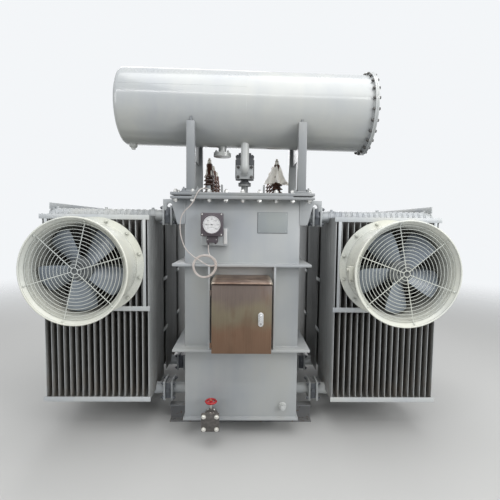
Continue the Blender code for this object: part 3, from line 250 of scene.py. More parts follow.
def enamel(name, colour, gloss=0.34, grime=0.5, scuffs=0.0, dim=0.0):
    """Sprayed enamel: orange peel, changes of tone, runs of dirt, dust, chips near the ground, and painted shade
    deep between pieces.
    """
    material, shader, here = new_finish(name)
    cloud = grain(here, 1.7, 4)
    run = grain(here, 7, 3, (1, 1, 0.12))
    speck = grain(here, 90, 2)
    dark = shade(colour, 0.86, 0.88, 0.93)
    light = shade(colour, 1.09, 1.08, 1.04)
    tone = (cloud * 0.65 + run * 0.35).between(0.3, 0.7).mix(dark, light)
    warm = shade(colour, 0.7, 0.64, 0.56)
    tone = ((run * cloud).between(0.26, 0.44) * (0.24 * grime)).mix(tone, warm)
    settled = facing_up(here) * (speck * 0.5 + cloud * 0.5).between(0.25, 0.75)
    tone = (settled * (0.5 * grime)).mix(tone, (0.43, 0.415, 0.385))
    if dim:
        # Painted shade: the colour darkens deep between pieces, where less light reaches.
        tone = (shelter(here, 0.45, 0.05, 0.62) * dim).mix(tone, shade(colour, 0.22))
    rough = gloss - 0.06 + cloud * 0.1 + speck * 0.05 + settled * 0.25
    if scuffs:
        low = 1 - height(here, 0.02, 0.3)
        chip = grain(here, 38, 5).between(0.6, 0.66) * low * scuffs
        tone = (low * 0.35).mix(tone, (0.235, 0.215, 0.19))
        tone = chip.mix(tone, (0.13, 0.085, 0.055))
        rough = rough + chip * 0.3
    feed(shader, Base_Color=tone, Roughness=rough)
    peel = grain(here, 420, 1) * 0.35 + grain(here, 4.5, 2) * 5
    emboss(shader, peel, 0.12, 0.0012)
    return material


def skin(form, rings, closed=False):
    """Join rings of points. A ring of one point is a tip; closed joins the last ring to the first."""
    rings = [[form.verts.new(point) for point in ring] for ring in rings]
    steps = len(rings[1])
    faces = [] if closed else [form.faces.new(ring) for ring in (rings[0], rings[-1]) if len(ring) > 1]
    for one, two in zip(rings, rings[1:] + rings[:1] if closed else rings[1:]):
        for k in range(steps):
            n = (k + 1) % steps
            corners = (one[k % len(one)], one[n % len(one)], two[n % len(two)], two[k % len(two)])
            faces.append(form.faces.new(list(dict.fromkeys(corners))))
    bmesh.ops.recalc_face_normals(form, faces=faces)
    return faces


def tube(form, points, radius, sides=8, ripple=0.0):
    """A round strand along points; ripple makes its thickness waver, as a weld's does."""
    points = [Vector(point) for point in points]
    turns = [tau * k / sides for k in range(sides)]
    rings = []
    guide = (points[1] - points[0]).orthogonal()
    for count, point in enumerate(points):
        ahead = (points[min(count + 1, len(points) - 1)] - points[max(count - 1, 0)]).normalized()
        guide = (guide - ahead * guide.dot(ahead)).normalized()
        other = ahead.cross(guide)
        size = radius * (1 + ripple * (noise.noise(point * 170) + count % 2 * 0.5))
        rings.append([point + size * (guide * cos(a) + other * sin(a)) for a in turns])
    skin(form, rings)


def weld(form, start, end, size=WELD_SIZE):
    """The bead of a fillet weld along a straight joint, with its laid ripples."""
    start, end = Vector(start), Vector(end)
    count = max(2, int((end - start).length / WELD_RIPPLE))
    tube(form, [start.lerp(end, k / count) for k in range(count + 1)], size, 6, 0.22)


def piece(name, form, finish, body="transformer", node=None, sharp=32):
    """Turn a finished shape into an object that rides on its body."""
    mesh = bpy.data.meshes.new(name)
    form.normal_update()
    form.to_mesh(mesh)
    form.free()
    mesh.materials.append(finish)
    mesh.shade_smooth()
    mesh.set_sharp_from_angle(angle=radians(sharp))
    made = bpy.data.objects.new(name, mesh)
    bpy.context.scene.collection.objects.link(made)
    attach(made, body)
    if node:
        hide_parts(node)
    return made


def refinish(finish, *nodes):
    """A new finish on pieces whose shape stays."""
    for name in nodes:
        mesh = frame["nodes"][name].data
        mesh.materials.clear()
        mesh.materials.append(finish)


ground_enamel = enamel("ground_enamel", SHADED_BASE_GREY, gloss=0.42, grime=0.9, scuffs=0.8)
refinish(ground_enamel, "base_channel_front", "base_channel_rear")
form = bmesh.new()
for name in ("base_channel_front", "base_channel_rear"):
    low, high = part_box(name)
    level = high.z - BASE_WELD_SINK
    for y in (low.y + WELD_SIZE / 2, high.y - WELD_SIZE / 2):
        weld(form, (-BASE_WELD_REACH, y, level), (BASE_WELD_REACH, y, level), LIGHT_WELD)
piece("base_welds", form, ground_enamel)


# The tank: a tall narrow box of welded steel plate on a slightly larger bottom plate, with twelve short pipes
# for the radiators welded to its long sides. It is sprayed with light grey enamel, like most of the outside.
WALL = 0.01
RIM_OUT = 0.09
BOTTOM_THICK = 0.02
BOTTOM_LIP = 0.013
STUB_RADIUS = 0.0445
STUB_CONE = 0.022
CONE_FOOT = 0.003
STUB_LENGTH = 0.148
STUB_INSET = 0.002
FLANGE_SIZE = 0.154
FLANGE_THICK = 0.015
BANK_FRONT = 0.028
BANK_PITCH = 0.64
PLATE_WIDTH = 0.53
HEADER_LOW = 0.263
HEADER_HIGH = 1.683
HEADERS = (HEADER_LOW, HEADER_HIGH)
SMALL_EDGE = 0.0015
TANK_GREY = (0.368, 0.384, 0.39)

rim_low, rim_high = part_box("tank_rim_flange")
tank_low, tank_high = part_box("tank_shell")
FRONT = rim_low.y + RIM_OUT
BACK = rim_high.y - RIM_OUT
SIDE = rim_high.x - RIM_OUT
SIDES = (("left", -1), ("right", 1))
BANK_MIDDLES = [FRONT + BANK_FRONT + PLATE_WIDTH / 2 + count * BANK_PITCH for count in range(3)]


def shift(x, y, z):
    """A move by so much along each axis."""
    return Matrix.Translation((x, y, z))


def aim(place, towards):
    """Where a shape goes that was drawn along +Z and should point another way."""
    return Matrix.Translation(place) @ Vector(towards).to_track_quat("Z", "Y").to_matrix().to_4x4()


def front_seat(x, y, z):
    """Where a shape goes that points out of the front wall."""
    return aim((x, y, z), (0, -1, 0))


def side_seat(side, x, y, z):
    """Where a shape goes that points out of one of the side walls."""
    return aim((side * x, y, z), (side, 0, 0))


def ease(form, faces, size):
    """Round off the edges of some faces."""
    edges = list(dict.fromkeys(line for face in faces for line in face.edges))
    bmesh.ops.bevel(form, geom=edges, offset=size, segments=2, affect="EDGES", profile=0.5)


def box(form, low, high, edge=SMALL_EDGE):
    """A block between two corners with small rounded edges."""
    (x0, y0, z0), (x1, y1, z1) = low, high
    faces = skin(form, [[(x0, y0, z), (x1, y0, z), (x1, y1, z), (x0, y1, z)] for z in (z0, z1)])
    if edge:
        ease(form, faces, edge)


def side_box(form, side, low, high, edge=SMALL_EDGE):
    """A block given for the right side, mirrored for the left one."""
    (x0, y0, z0), (x1, y1, z1) = low, high
    box(form, (min(side * x0, side * x1), y0, z0), (max(side * x0, side * x1), y1, z1), edge)


def square(form, side, start, end, middle, level, size, edge=SMALL_EDGE):
    """A square plate across a pipe at a side wall, between two distances from the tank's middle."""
    half = size / 2
    side_box(form, side, (start, middle - half, level - half), (end, middle + half, level + half), edge)


def lathe(form, profile, place=Matrix(), steps=32, first=0.0, closed=False):
    """A profile of (radius, height) turned about +Z; closed joins its end to its start."""
    turns = [first + tau * k / steps for k in range(steps)]
    rings = []
    for radius, level in profile:
        around = turns if radius else turns[:1]
        rings.append([place @ Vector((radius * cos(a), radius * sin(a), level)) for a in around])
    skin(form, rings, closed)


def ring_weld(form, place, radius, size=WELD_SIZE, steps=40):
    """A weld's bead round a pipe whose axis is the place's +Z."""
    circle = [(radius * cos(tau * k / steps), radius * sin(tau * k / steps), 0) for k in range(steps + 1)]
    tube(form, [place @ Vector(point) for point in circle], size, 5, 0.2)


def wall_corners(away, z):
    """The four corners of a rectangle that lies so far outside the tank's walls, at a level."""
    x, y_low, y_high = SIDE + away, FRONT - away, BACK + away
    return [(-x, y_low, z), (x, y_low, z), (x, y_high, z), (-x, y_high, z)]


def wall_welds(form, level, size=LIGHT_WELD):
    """Beads where a plate at this level meets the four walls."""
    corners = wall_corners(0, level)
    for one, two in zip(corners, corners[1:] + corners[:1]):
        weld(form, one, two, size)


def add_frame(form, out, hole, low, high, edge=SMALL_EDGE):
    """A flat ring of plate round the tank, from one distance outside its walls to another."""
    loops = ((out, low), (out, high), (hole, high), (hole, low))
    outer = skin(form, [wall_corners(away, z) for away, z in loops], closed=True)[:4]
    if edge:
        ease(form, outer, edge)


tank_enamel = enamel("tank_enamel", TANK_GREY)
form = bmesh.new()
floor_top = tank_low.z + BOTTOM_THICK
add_frame(form, 0, -WALL, floor_top, tank_high.z, 0.003)
box(form, (-SIDE - BOTTOM_LIP, FRONT - BOTTOM_LIP, tank_low.z),
    (SIDE + BOTTOM_LIP, BACK + BOTTOM_LIP, floor_top))
wall_welds(form, floor_top, WELD_SIZE)
cone_radius = STUB_RADIUS + STUB_CONE
stub_profile = [(cone_radius, 0), (cone_radius, WALL / 2 + CONE_FOOT), (STUB_RADIUS, WALL / 2 + STUB_CONE),
                (STUB_RADIUS, WALL / 2 + STUB_LENGTH - STUB_INSET)]
flange_end = SIDE + STUB_LENGTH
flange_start = flange_end - FLANGE_THICK
for name, side in SIDES:
    for middle in BANK_MIDDLES:
        for level in HEADERS:
            root = side_seat(side, SIDE - WALL / 2, middle, level)
            lathe(form, stub_profile, root, 40)
            ring_weld(form, root @ shift(0, 0, WALL / 2 + STUB_INSET), cone_radius)
            square(form, side, flange_start, flange_end, middle, level, FLANGE_SIZE)
            ring_weld(form, side_seat(side, flange_start, middle, level), STUB_RADIUS)
piece("tank", form, tank_enamel, node="tank_shell")


# The stiffeners: two flat bands on edge round the tank and two ribs between them beside the cabinet. Each is
# cut from plate and welded to the wall along both sides, with a bead that stays visible under the enamel.
BAND_FIT = 0.0005
BEAD_OUT = 0.001
BEAD_INSET = 0.004

for name in ("upper_band", "lower_band"):
    low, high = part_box(name)
    form = bmesh.new()
    add_frame(form, FRONT - low.y, BAND_FIT, low.z, high.z)
    wall_welds(form, high.z)
    wall_welds(form, low.z)
    piece(name + "_plate", form, tank_enamel, node=name)
for name in ("cabinet_rib_left", "cabinet_rib_right"):
    low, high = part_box(name)
    form = bmesh.new()
    box(form, low, high)
    for x in (low.x, high.x):
        y = FRONT - BEAD_OUT
        weld(form, (x, y, low.z + BEAD_INSET), (x, y, high.z - BEAD_INSET), LIGHT_WELD)
    piece(name + "_plate", form, tank_enamel, node=name)


# The rim, the gasket and the cover: a flat flange welded round the tank's mouth, a black rubber gasket and a
# thick cover plate, clamped by bolts all round. Each bolt has a hexagon head above and a nut below the rim.
SEAT_GAP = 0.0003
RIM_FIT = 0.002
COVER_THICK = 0.02
COVER_PAINTED_SHADE = 0.66
GASKET_IN = 0.022
PACKING_SHORT = 0.062
PACKING_INNER = 0.07
PACKING_INSET = 0.004
OVERLAP = 0.001
POCKET_PROFILE = ((0.022, 0), (0.022, 0.004), (0.016, 0.01), (0.016, 0.06))
RISER_RADIUS = 0.027
RISER_FLANGE_RADIUS = 0.05
RISER_FLANGE = 0.014
TAB_X = 0.165
TAB_HALF = 0.006
TAB_ENDS = (0.205, 0.275)
TAB_HEIGHT = 0.085
TAB_WELD = 0.009
BOLT_PITCH = 0.116
BOLT_IN = 0.034
BOLT_ACROSS = 0.03
THREAD_ABOVE = 0.008
THREAD_BELOW = 0.006
WASHER_THICK = 0.0025
THREAD_CHAMFER = 0.0015
# Nuts end up at any angle: so many radians for each metre along X.
NUT_TURN = 40
ZINC = (0.6, 0.6, 0.57)
RUBBER_BLACK = (0.018, 0.018, 0.02)

cover_low, cover_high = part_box("tank_cover")
gasket_low, gasket_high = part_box("cover_gasket")
relay_low, relay_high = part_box("gas_relay")
COVER_TOP = gasket_high.z + SEAT_GAP + COVER_THICK
POCKET = (-0.255, FRONT + 0.07)
RISER = (0.013, FRONT + 0.3013)


def nut(form, place, across, thick):
    """A hexagon nut or bolt head, its seat at the place and its axis along the place's +Z."""
    corner = across / 2 / cos(pi / 6)
    profile = [(corner, 0), (corner, thick * 0.82), (corner * 0.86, thick), (0, thick)]
    lathe(form, profile, place, 6, first=place.to_translation().x * NUT_TURN)


def bolt(form, place, across, thread):
    """A washer, a nut half as thick as it is wide, and the end of its thread."""
    washer, stud, tip = across * 0.62, across * 0.27, across * 0.22
    lathe(form, [(washer, 0), (washer, WASHER_THICK)], place, 20)
    seat = place @ shift(0, 0, WASHER_THICK)
    nut(form, seat, across, across / 2)
    top = across / 2 + thread
    lathe(form, [(stud, 0), (stud, top - THREAD_CHAMFER), (tip, top), (0, top)], seat, 10)


def steel(name, colour=ZINC, gloss=0.36, grime=0.5):
    """Zinc-plated or bare steel with patchy bloom and a little grime."""
    material, shader, here = new_finish(name, metallic=0.9)
    cloud = grain(here, 24, 4)
    fine = grain(here, 160, 2)
    dull = shade(colour, 1 - 0.45 * grime)
    feed(shader, Base_Color=cloud.between(0.35, 0.65).mix(dull, colour),
         Roughness=gloss + (cloud * 0.5 + fine * 0.5).between(0.3, 0.7) * 0.18)
    emboss(shader, fine, 0.15, 0.0006)
    return material


def rubber(name):
    """Black rubber with a dusty bloom."""
    material, shader, here = new_finish(name)
    bloom = grain(here, 30, 4).between(0.4, 0.75)
    feed(shader, Base_Color=bloom.mix(RUBBER_BLACK, (0.055, 0.052, 0.05)), Roughness=0.62 + bloom * 0.2)
    emboss(shader, grain(here, 300, 2), 0.25, 0.0006)
    return material


zinc = steel("zinc_plate")
black_rubber = rubber("gasket_rubber")
# Painted shade: the rim, the cover and the trestles carry the tank's grey darkened by a third.
cover_enamel = enamel("cover_enamel", shade(TANK_GREY, COVER_PAINTED_SHADE), grime=0.8)
form = bmesh.new()
add_frame(form, RIM_OUT, -RIM_FIT, rim_low.z, rim_high.z, 0.002)
wall_welds(form, rim_low.z)
piece("rim", form, cover_enamel, node="tank_rim_flange")

form = bmesh.new()
add_frame(form, RIM_OUT - GASKET_IN, -WALL, gasket_low.z, gasket_high.z, 0)
piece("gasket", form, black_rubber, node="cover_gasket")

form = bmesh.new()
inner, outer = PACKING_INNER, RIM_OUT - PACKING_INSET
foot = rim_high.z - OVERLAP
top = COVER_TOP - COVER_THICK + OVERLAP
x_end = SIDE - PACKING_SHORT
for y0, y1 in ((FRONT - outer, FRONT - inner), (BACK + inner, BACK + outer)):
    box(form, (-x_end, y0, foot), (x_end, y1, top))
y0, y1 = FRONT + PACKING_SHORT, BACK - PACKING_SHORT
for name, side in SIDES:
    side_box(form, side, (SIDE + inner, y0, foot), (SIDE + outer, y1, top))
piece("painted_packing", form, tank_enamel)

form = bmesh.new()
box(form, cover_low, (cover_high.x, cover_high.y, COVER_TOP), 0.002)
lathe(form, POCKET_PROFILE, shift(*POCKET, COVER_TOP), 24)
for name, side in SIDES:
    y0, y1 = [FRONT + y for y in TAB_ENDS]
    side_box(form, side, (TAB_X - TAB_HALF, y0, COVER_TOP - OVERLAP),
             (TAB_X + TAB_HALF, y1, COVER_TOP + TAB_HEIGHT))
    weld(form, (side * TAB_X, y0, COVER_TOP), (side * TAB_X, y1, COVER_TOP), TAB_WELD)
flange_top = relay_low.z - SEAT_GAP - COVER_TOP
flange_foot = relay_low.z - RISER_FLANGE - COVER_TOP
lathe(form, [(RISER_RADIUS, -OVERLAP), (RISER_RADIUS, flange_foot), (RISER_FLANGE_RADIUS, flange_foot),
              (RISER_FLANGE_RADIUS, flange_top)], shift(*RISER, COVER_TOP), 32)
ring_weld(form, shift(*RISER, COVER_TOP), RISER_RADIUS + OVERLAP)
piece("cover", form, cover_enamel, node="tank_cover")


def rim_bolt_places():
    """The bolt circle, as even steps along each edge of the rim."""
    x_end = SIDE + RIM_OUT - BOLT_IN
    y_low = FRONT - RIM_OUT + BOLT_IN
    y_high = BACK + RIM_OUT - BOLT_IN
    across = round(2 * x_end / BOLT_PITCH)
    along = round((y_high - y_low) / BOLT_PITCH)
    for k in range(across + 1):
        x = -x_end + 2 * x_end * k / across
        yield x, y_low
        yield x, y_high
    for k in range(1, along):
        y = y_low + (y_high - y_low) * k / along
        yield -x_end, y
        yield x_end, y


form = bmesh.new()
for x, y in rim_bolt_places():
    bolt(form, shift(x, y, COVER_TOP), BOLT_ACROSS, THREAD_ABOVE)
    bolt(form, aim((x, y, rim_low.z), (0, 0, -1)), BOLT_ACROSS, THREAD_BELOW)
piece("cover_bolts", form, steel("bright_zinc", (0.66, 0.66, 0.64), 0.3, 0.9))


# The lifting lugs: four thick hook plates flame-cut with an arched recess for the sling and welded to the
# tank's corners under the rim.
LUG_WELD = 0.0055
# The hook's outline, as shares of its reach from the tank and of its height from the top down.
LUG_NOSE = ((0, 0), (1, 0), (1, 0.16), (0.985, 0.28), (0.955, 0.37), (0.93, 0.42), (0.905, 0.44),
            (0.875, 0.44), (0.85, 0.42))
LUG_ARCH = [(0.7 + 0.13 * cos(radians(a)), 0.3 - 0.15 * sin(radians(a))) for a in range(0, 181, 20)]
LUG_TAIL = ((0.545, 0.36), (0.36, 0.96), (0.33, 0.99), (0.3, 1), (0, 1))

for name in ("front_left", "front_right", "rear_left", "rear_right"):
    low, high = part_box("lifting_lug_" + name)
    side = -1 if name.endswith("left") else 1
    out = high.x - low.x
    tall = high.z - low.z
    root = SIDE + SEAT_GAP
    outline = [(side * (root + a * out), high.z - b * tall) for a, b in (*LUG_NOSE, *LUG_ARCH, *LUG_TAIL)]
    form = bmesh.new()
    faces = skin(form, [[(x, y, z) for x, z in outline] for y in (low.y, high.y)])
    ease(form, faces[:2], SMALL_EDGE)
    for y in (low.y, high.y):
        x = side * root
        weld(form, (x, y, low.z + BEAD_INSET), (x, y, high.z - BEAD_INSET), LUG_WELD)
    piece("lug_" + name, form, tank_enamel, node="lifting_lug_" + name)


# The radiators: six banks of eighteen plates, each of two thin pressed steel sheets seam-welded round their edges
# with upright oil channels between, and strung on two header pipes. They are flooded with thin pale grey paint,
# with painted shade deep between the plates.
PLATE_COUNT = 18
PLATE_PITCH = 0.045
PLATE_THICK = 0.012
PLATE_HEIGHT = 1.408
PLATE_FOOT = 0.267
PLATE_START = 0.691
SEAM_THICK = 0.0042
SEAM_WIDTH = 0.013
FLUTES = 8
FLUTE_START = 0.001
# Points across one channel: how far along it they lie and how far out of the plate, as shares.
FLUTE_SHARES = ((0.0, 0.1), (0.16, 0.82), (0.34, 1.0), (0.66, 1.0), (0.84, 0.82))
# How the channels fade out: distance from the plate's foot or top, and the share of their rise there.
FLUTE_FADE = ((0, 0), (0.016, 0), (0.05, 0.75), (0.085, 1))
HEADER_END = 1.533
HEADER_SINK = 0.004
CAP_WELD = 0.004
CAP_WELD_BACK = 0.019
VALVE_START = SIDE + STUB_LENGTH + SEAT_GAP
VALVE_SIZE = 0.132
VALVE_THICK = 0.046
VALVE_EDGE = 0.012
VALVE_STEM_PROFILE = ((0.017, 0), (0.017, 0.012), (0.01, 0.016), (0, 0.016))
NECK_START = VALVE_START + VALVE_THICK
NECK_END = NECK_START + FLANGE_THICK
FLANGE_BOLT_SHARE = 0.76
FLANGE_BOLT = 0.024
PLUG_PLACES = (PLATE_START + 0.028, PLATE_START + 0.4, HEADER_END - 0.055)
PLUG_RADIUS = 0.013
PLUG_HEIGHT = 0.008
PLUG_SINK = 0.002
FRAME_BAR = 0.035
FRAME_PAST = 0.015
FRAME_START = 0.0075
FRAME_OUT = 0.0103
FRAME_RISE = 0.005
RADIATOR_GREY = (0.43, 0.45, 0.455)
HEADER_GREY = (0.485, 0.505, 0.51)
VALVE_GREY = (0.105, 0.115, 0.13)

bank_end = PLATE_START + (PLATE_COUNT - 1) * PLATE_PITCH + PLATE_THICK


def plate_outline():
    """A plate's relief from front to back, as (distance, share of the channels' rise)."""
    points = [(0, 0), (SEAM_WIDTH, 0)]
    channels = PLATE_WIDTH - 2 * SEAM_WIDTH
    for count in range(FLUTES):
        for along, rise in FLUTE_SHARES:
            points.append((SEAM_WIDTH + channels * (count + along) / FLUTES + FLUTE_START, rise))
    return points + [(PLATE_WIDTH - SEAM_WIDTH, 0), (PLATE_WIDTH, 0)]


def add_plate(form, middle_x, start_y):
    """One pressed plate: a flat seam all round and channels that fade out towards its top and bottom."""
    rise = (PLATE_THICK - SEAM_THICK) / 2
    levels = [(PLATE_FOOT + z, share) for z, share in FLUTE_FADE]
    levels += [(PLATE_FOOT + PLATE_HEIGHT - z, share) for z, share in FLUTE_FADE[::-1]]
    outline = plate_outline()
    rings = []
    for level, share in levels:
        half = [(SEAM_THICK / 2 + rise * share * out, start_y + along) for along, out in outline]
        ring = [(middle_x + x, y, level) for x, y in half]
        ring += [(middle_x - x, y, level) for x, y in half[::-1]]
        rings.append(ring)
    skin(form, rings)


def radiator_paint(name):
    """Thin flooded paint: painted shade deep between the plates, and darker, browner dirt low down."""
    material, shader, here = new_finish(name)
    cloud = grain(here, 3.2, 4)
    run = grain(here, 16, 3, (1, 1, 0.06))
    deep, pale = shade(RADIATOR_GREY, 0.8), shade(RADIATOR_GREY, 1.1)
    tone = (cloud * 0.5 + run * 0.5).between(0.32, 0.68).mix(deep, pale)
    # Painted shade: darker and browner deep between the plates and next to the tank.
    near = shelter(here, 0.09, 0.12, 0.85)
    wide = shelter(here, 0.55, 0.12, 0.62)
    tone = (near * 0.78).mix(tone, (0.095, 0.09, 0.082))
    tone = (wide * 0.55).mix(tone, (0.1, 0.086, 0.07))
    low = 1 - height(here, 0.25, 0.75)
    dirt = (low * grain(here, 9, 5).between(0.42, 0.62)) * 0.45
    tone = dirt.mix(tone, (0.24, 0.205, 0.17))
    settled = facing_up(here) * 0.45
    feed(shader, Base_Color=settled.mix(tone, (0.47, 0.45, 0.42)), Roughness=0.42 + cloud * 0.12 + dirt * 0.3)
    emboss(shader, grain(here, 260, 2), 0.12, 0.001)
    return material


def add_flange_bolts(form, side, middle, level, low_x, high_x):
    """Four bolts through a pair of square flanges, with a nut at each side."""
    away = FLANGE_SIZE / 2 * FLANGE_BOLT_SHARE
    for y in (middle - away, middle + away):
        for z in (level - away, level + away):
            for x, way in ((low_x, -1), (high_x, 1)):
                bolt(form, aim((side * x, y, z), (side * way, 0, 0)), FLANGE_BOLT, THREAD_BELOW)
            tube(form, [(side * low_x, y, z), (side * high_x, y, z)], FLANGE_BOLT * 0.27, 8)


radiator_enamel = radiator_paint("radiator_enamel")
header_enamel = enamel("header_enamel", HEADER_GREY, gloss=0.32, grime=0.7)
valve_paint = enamel("valve_paint", VALVE_GREY, gloss=0.42, grime=1.2)
reach = HEADER_END - NECK_START - HEADER_SINK
header_profile = [(STUB_RADIUS, 0), (STUB_RADIUS, reach - 0.016), (STUB_RADIUS * 0.93, reach - 0.007),
                  (STUB_RADIUS * 0.7, reach - 0.0015), (0, reach)]
valve_middle = VALVE_START + VALVE_THICK / 2
for name, side in SIDES:
    for count, middle in enumerate(BANK_MIDDLES):
        start = middle - PLATE_WIDTH / 2
        plates = bmesh.new()
        for k in range(PLATE_COUNT):
            add_plate(plates, side * (PLATE_START + k * PLATE_PITCH + PLATE_THICK / 2), start)
        pipes = bmesh.new()
        valves = bmesh.new()
        for level in HEADERS:
            lathe(pipes, header_profile, side_seat(side, NECK_START + HEADER_SINK, middle, level), 40)
            cap_seam = side_seat(side, HEADER_END - CAP_WELD_BACK, middle, level)
            ring_weld(pipes, cap_seam, STUB_RADIUS, CAP_WELD)
            square(pipes, side, NECK_START, NECK_END, middle, level, FLANGE_SIZE)
            ring_weld(pipes, side_seat(side, NECK_END, middle, level), STUB_RADIUS)
            for k in range(PLATE_COUNT):
                for edge in (0, PLATE_THICK):
                    x = PLATE_START + k * PLATE_PITCH + edge
                    ring_weld(pipes, side_seat(side, x, middle, level), STUB_RADIUS, LIGHT_WELD, 22)
            valve_end = NECK_START - SEAT_GAP
            square(valves, side, VALVE_START, valve_end, middle, level, VALVE_SIZE, VALVE_EDGE)
            stem = front_seat(side * valve_middle, middle - VALVE_SIZE / 2, level)
            lathe(valves, VALVE_STEM_PROFILE, stem, 20)
            add_flange_bolts(valves, side, middle, level, flange_start, NECK_END)
        for x in PLUG_PLACES:
            plug = aim((side * x, middle, HEADER_HIGH + STUB_RADIUS - PLUG_SINK), (0, 0, 1))
            lathe(pipes, [(PLUG_RADIUS, 0), (PLUG_RADIUS, PLUG_HEIGHT)], plug, 20)
            nut(pipes, plug @ shift(0, 0, PLUG_HEIGHT), 0.02, 0.01)
        if count == 0:
            low = PLATE_FOOT + FRAME_RISE
            side_box(pipes, side, (PLATE_START - FRAME_START, start - FRAME_OUT, low),
                     (bank_end + FRAME_PAST, start + OVERLAP, low + FRAME_BAR))
        body = f"radiator_{name}_{count + 1}"
        piece(body + "_plates", plates, radiator_enamel, node=body, sharp=50)
        piece(body + "_pipes", pipes, header_enamel, node=body)
        piece(body + "_valves", valves, valve_paint, node=body)


# The bars that hold the banks together: a flat bar on edge along the header tops of each side, short straps
# between neighbouring banks, and a welded frame on the front bank's plate edges that carries the fan.
STRAP_HEIGHT = 0.03
STRAP_THICK = 0.004
STRAP_HOLD = 0.02
STRAP_LEVELS = (1.115, 0.66)
STRAP_EDGE = 0.0008
TIE_WELD_HALF = 0.02
POST_AWAY = 0.357
POST_HALF = 0.011
PLATE_TACK = 0.0035
PLATE_TACK_HALF = 0.003

for name, side in SIDES:
    form = bmesh.new()
    low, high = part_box("radiator_tie_bar_" + name)
    box(form, low, high)
    for middle in BANK_MIDDLES:
        y0, y1 = middle - TIE_WELD_HALF, middle + TIE_WELD_HALF
        weld(form, (low.x, y0, low.z), (low.x, y1, low.z), CAP_WELD)
    piece("tie_bar_" + name, form, header_enamel, node="radiator_tie_bar_" + name)
    form = bmesh.new()
    for before, after in zip(BANK_MIDDLES, BANK_MIDDLES[1:]):
        y0 = before + PLATE_WIDTH / 2 - STRAP_HOLD
        y1 = after - PLATE_WIDTH / 2 + STRAP_HOLD
        for z in STRAP_LEVELS:
            for x in (PLATE_START - STRAP_THICK, bank_end):
                strap_end = (x + STRAP_THICK, y1, z + STRAP_HEIGHT)
                side_box(form, side, (x, y0, z), strap_end, STRAP_EDGE)
    piece("bank_straps_" + name, form, header_enamel)
    form = bmesh.new()
    low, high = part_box("radiator_frame_" + name)
    for z in (low.z, high.z - FRAME_BAR):
        box(form, (low.x, low.y, z), (high.x, high.y, z + FRAME_BAR))
    fan_low, fan_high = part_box("fan_shroud_" + name)
    fan_x = (fan_low.x + fan_high.x) / 2
    for x in (fan_x - POST_AWAY, fan_x + POST_AWAY):
        box(form, (x - POST_HALF, low.y, low.z + FRAME_BAR - OVERLAP),
            (x + POST_HALF, high.y, high.z - FRAME_BAR + OVERLAP))
    for k in range(PLATE_COUNT):
        x = side * (PLATE_START + k * PLATE_PITCH + PLATE_THICK / 2)
        for z in (low.z, low.z + FRAME_BAR, high.z - FRAME_BAR, high.z):
            ends = [(x + away, high.y, z) for away in (-PLATE_TACK_HALF, PLATE_TACK_HALF)]
            weld(form, *ends, PLATE_TACK)
    piece("fan_frame_" + name, form, header_enamel, node="radiator_frame_" + name)


# The fans: an axial fan on the front of each front bank, in a drum rolled from sheet steel with a flared,
# rolled mouth, sprayed greenish cream. The drum's flange is bolted to the frame bars on the radiator.
FAN_BACK = FRONT + 0.0174
FAN_DEPTH = 0.377
DRUM_RADIUS = 0.306
FAN_SHEET = 0.005
MOUTH_RADIUS = 0.348
MOUTH_DEPTH = 0.095
LIP_RADIUS = 0.006
FAN_FLANGE = 0.357
FAN_BOLTS = 12
FAN_BOLT_IN = 0.021
DRUM_SEAM_TURN = 206
DRUM_SEAM_LENGTH = 0.27
DRUM_SEAM = 0.0028
GLAND_TURN = 183
GLAND_FORWARD = 0.17
GLAND_OUT = 0.014
GLAND_NUT_PROFILE = ((0.011, 0), (0.011, 0.01), (0.008, 0.013), (0, 0.013))
GLAND_PLUG_PROFILE = ((0.009, 0), (0.009, 0.014), (0.006, 0.018), (0, 0.018))
FAN_CREAM = (0.66, 0.67, 0.61)


def fan_frame(name):
    """The fan's own frame: +X to the right, +Y up and +Z out of its mouth, from the middle of its back."""
    low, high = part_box("fan_shroud_" + name)
    middle = ((low.x + high.x) / 2, FAN_BACK, (low.z + high.z) / 2)
    return Matrix.Translation(middle) @ Matrix.Rotation(pi / 2, 4, "X")


def mouth_radius(forward):
    """Radius of the mouth's inner side at a distance in front of the fan's back."""
    share = min(max((forward - FAN_DEPTH + MOUTH_DEPTH) / (MOUTH_DEPTH - 2 * LIP_RADIUS), 0), 1)
    return DRUM_RADIUS - FAN_SHEET + (MOUTH_RADIUS - DRUM_RADIUS) * (1 - cos(share * pi / 2))


def polar(place, radius, turn, forward):
    """A point at a distance from a place's axis, a turn round it and a distance along it."""
    return place @ Vector((radius * cos(turn), radius * sin(turn), forward))


# Painted shade: the drum's cream darkens deep inside the drum and close to other pieces.
fan_enamel = enamel("fan_enamel", FAN_CREAM, gloss=0.26, grime=0.45, dim=0.85)
straight_end = FAN_DEPTH - MOUTH_DEPTH
flare = [straight_end + (MOUTH_DEPTH - 2 * LIP_RADIUS) * k / 12 for k in range(13)]
drum_profile = [(FAN_FLANGE, 0), (FAN_FLANGE, FAN_SHEET), (DRUM_RADIUS + 0.004, FAN_SHEET),
                (DRUM_RADIUS + 0.001, FAN_SHEET + 0.002), (DRUM_RADIUS, FAN_SHEET + 0.006)]
drum_profile += [(mouth_radius(z) + FAN_SHEET, z) for z in flare]
for turn in range(-50, 171, 20):
    lip_out = MOUTH_RADIUS - 0.001 + LIP_RADIUS * cos(radians(turn))
    drum_profile += [(lip_out, FAN_DEPTH - LIP_RADIUS + LIP_RADIUS * sin(radians(turn)))]
drum_profile += [(mouth_radius(z), z) for z in flare[::-1]]
drum_profile += [(DRUM_RADIUS - FAN_SHEET, 0)]
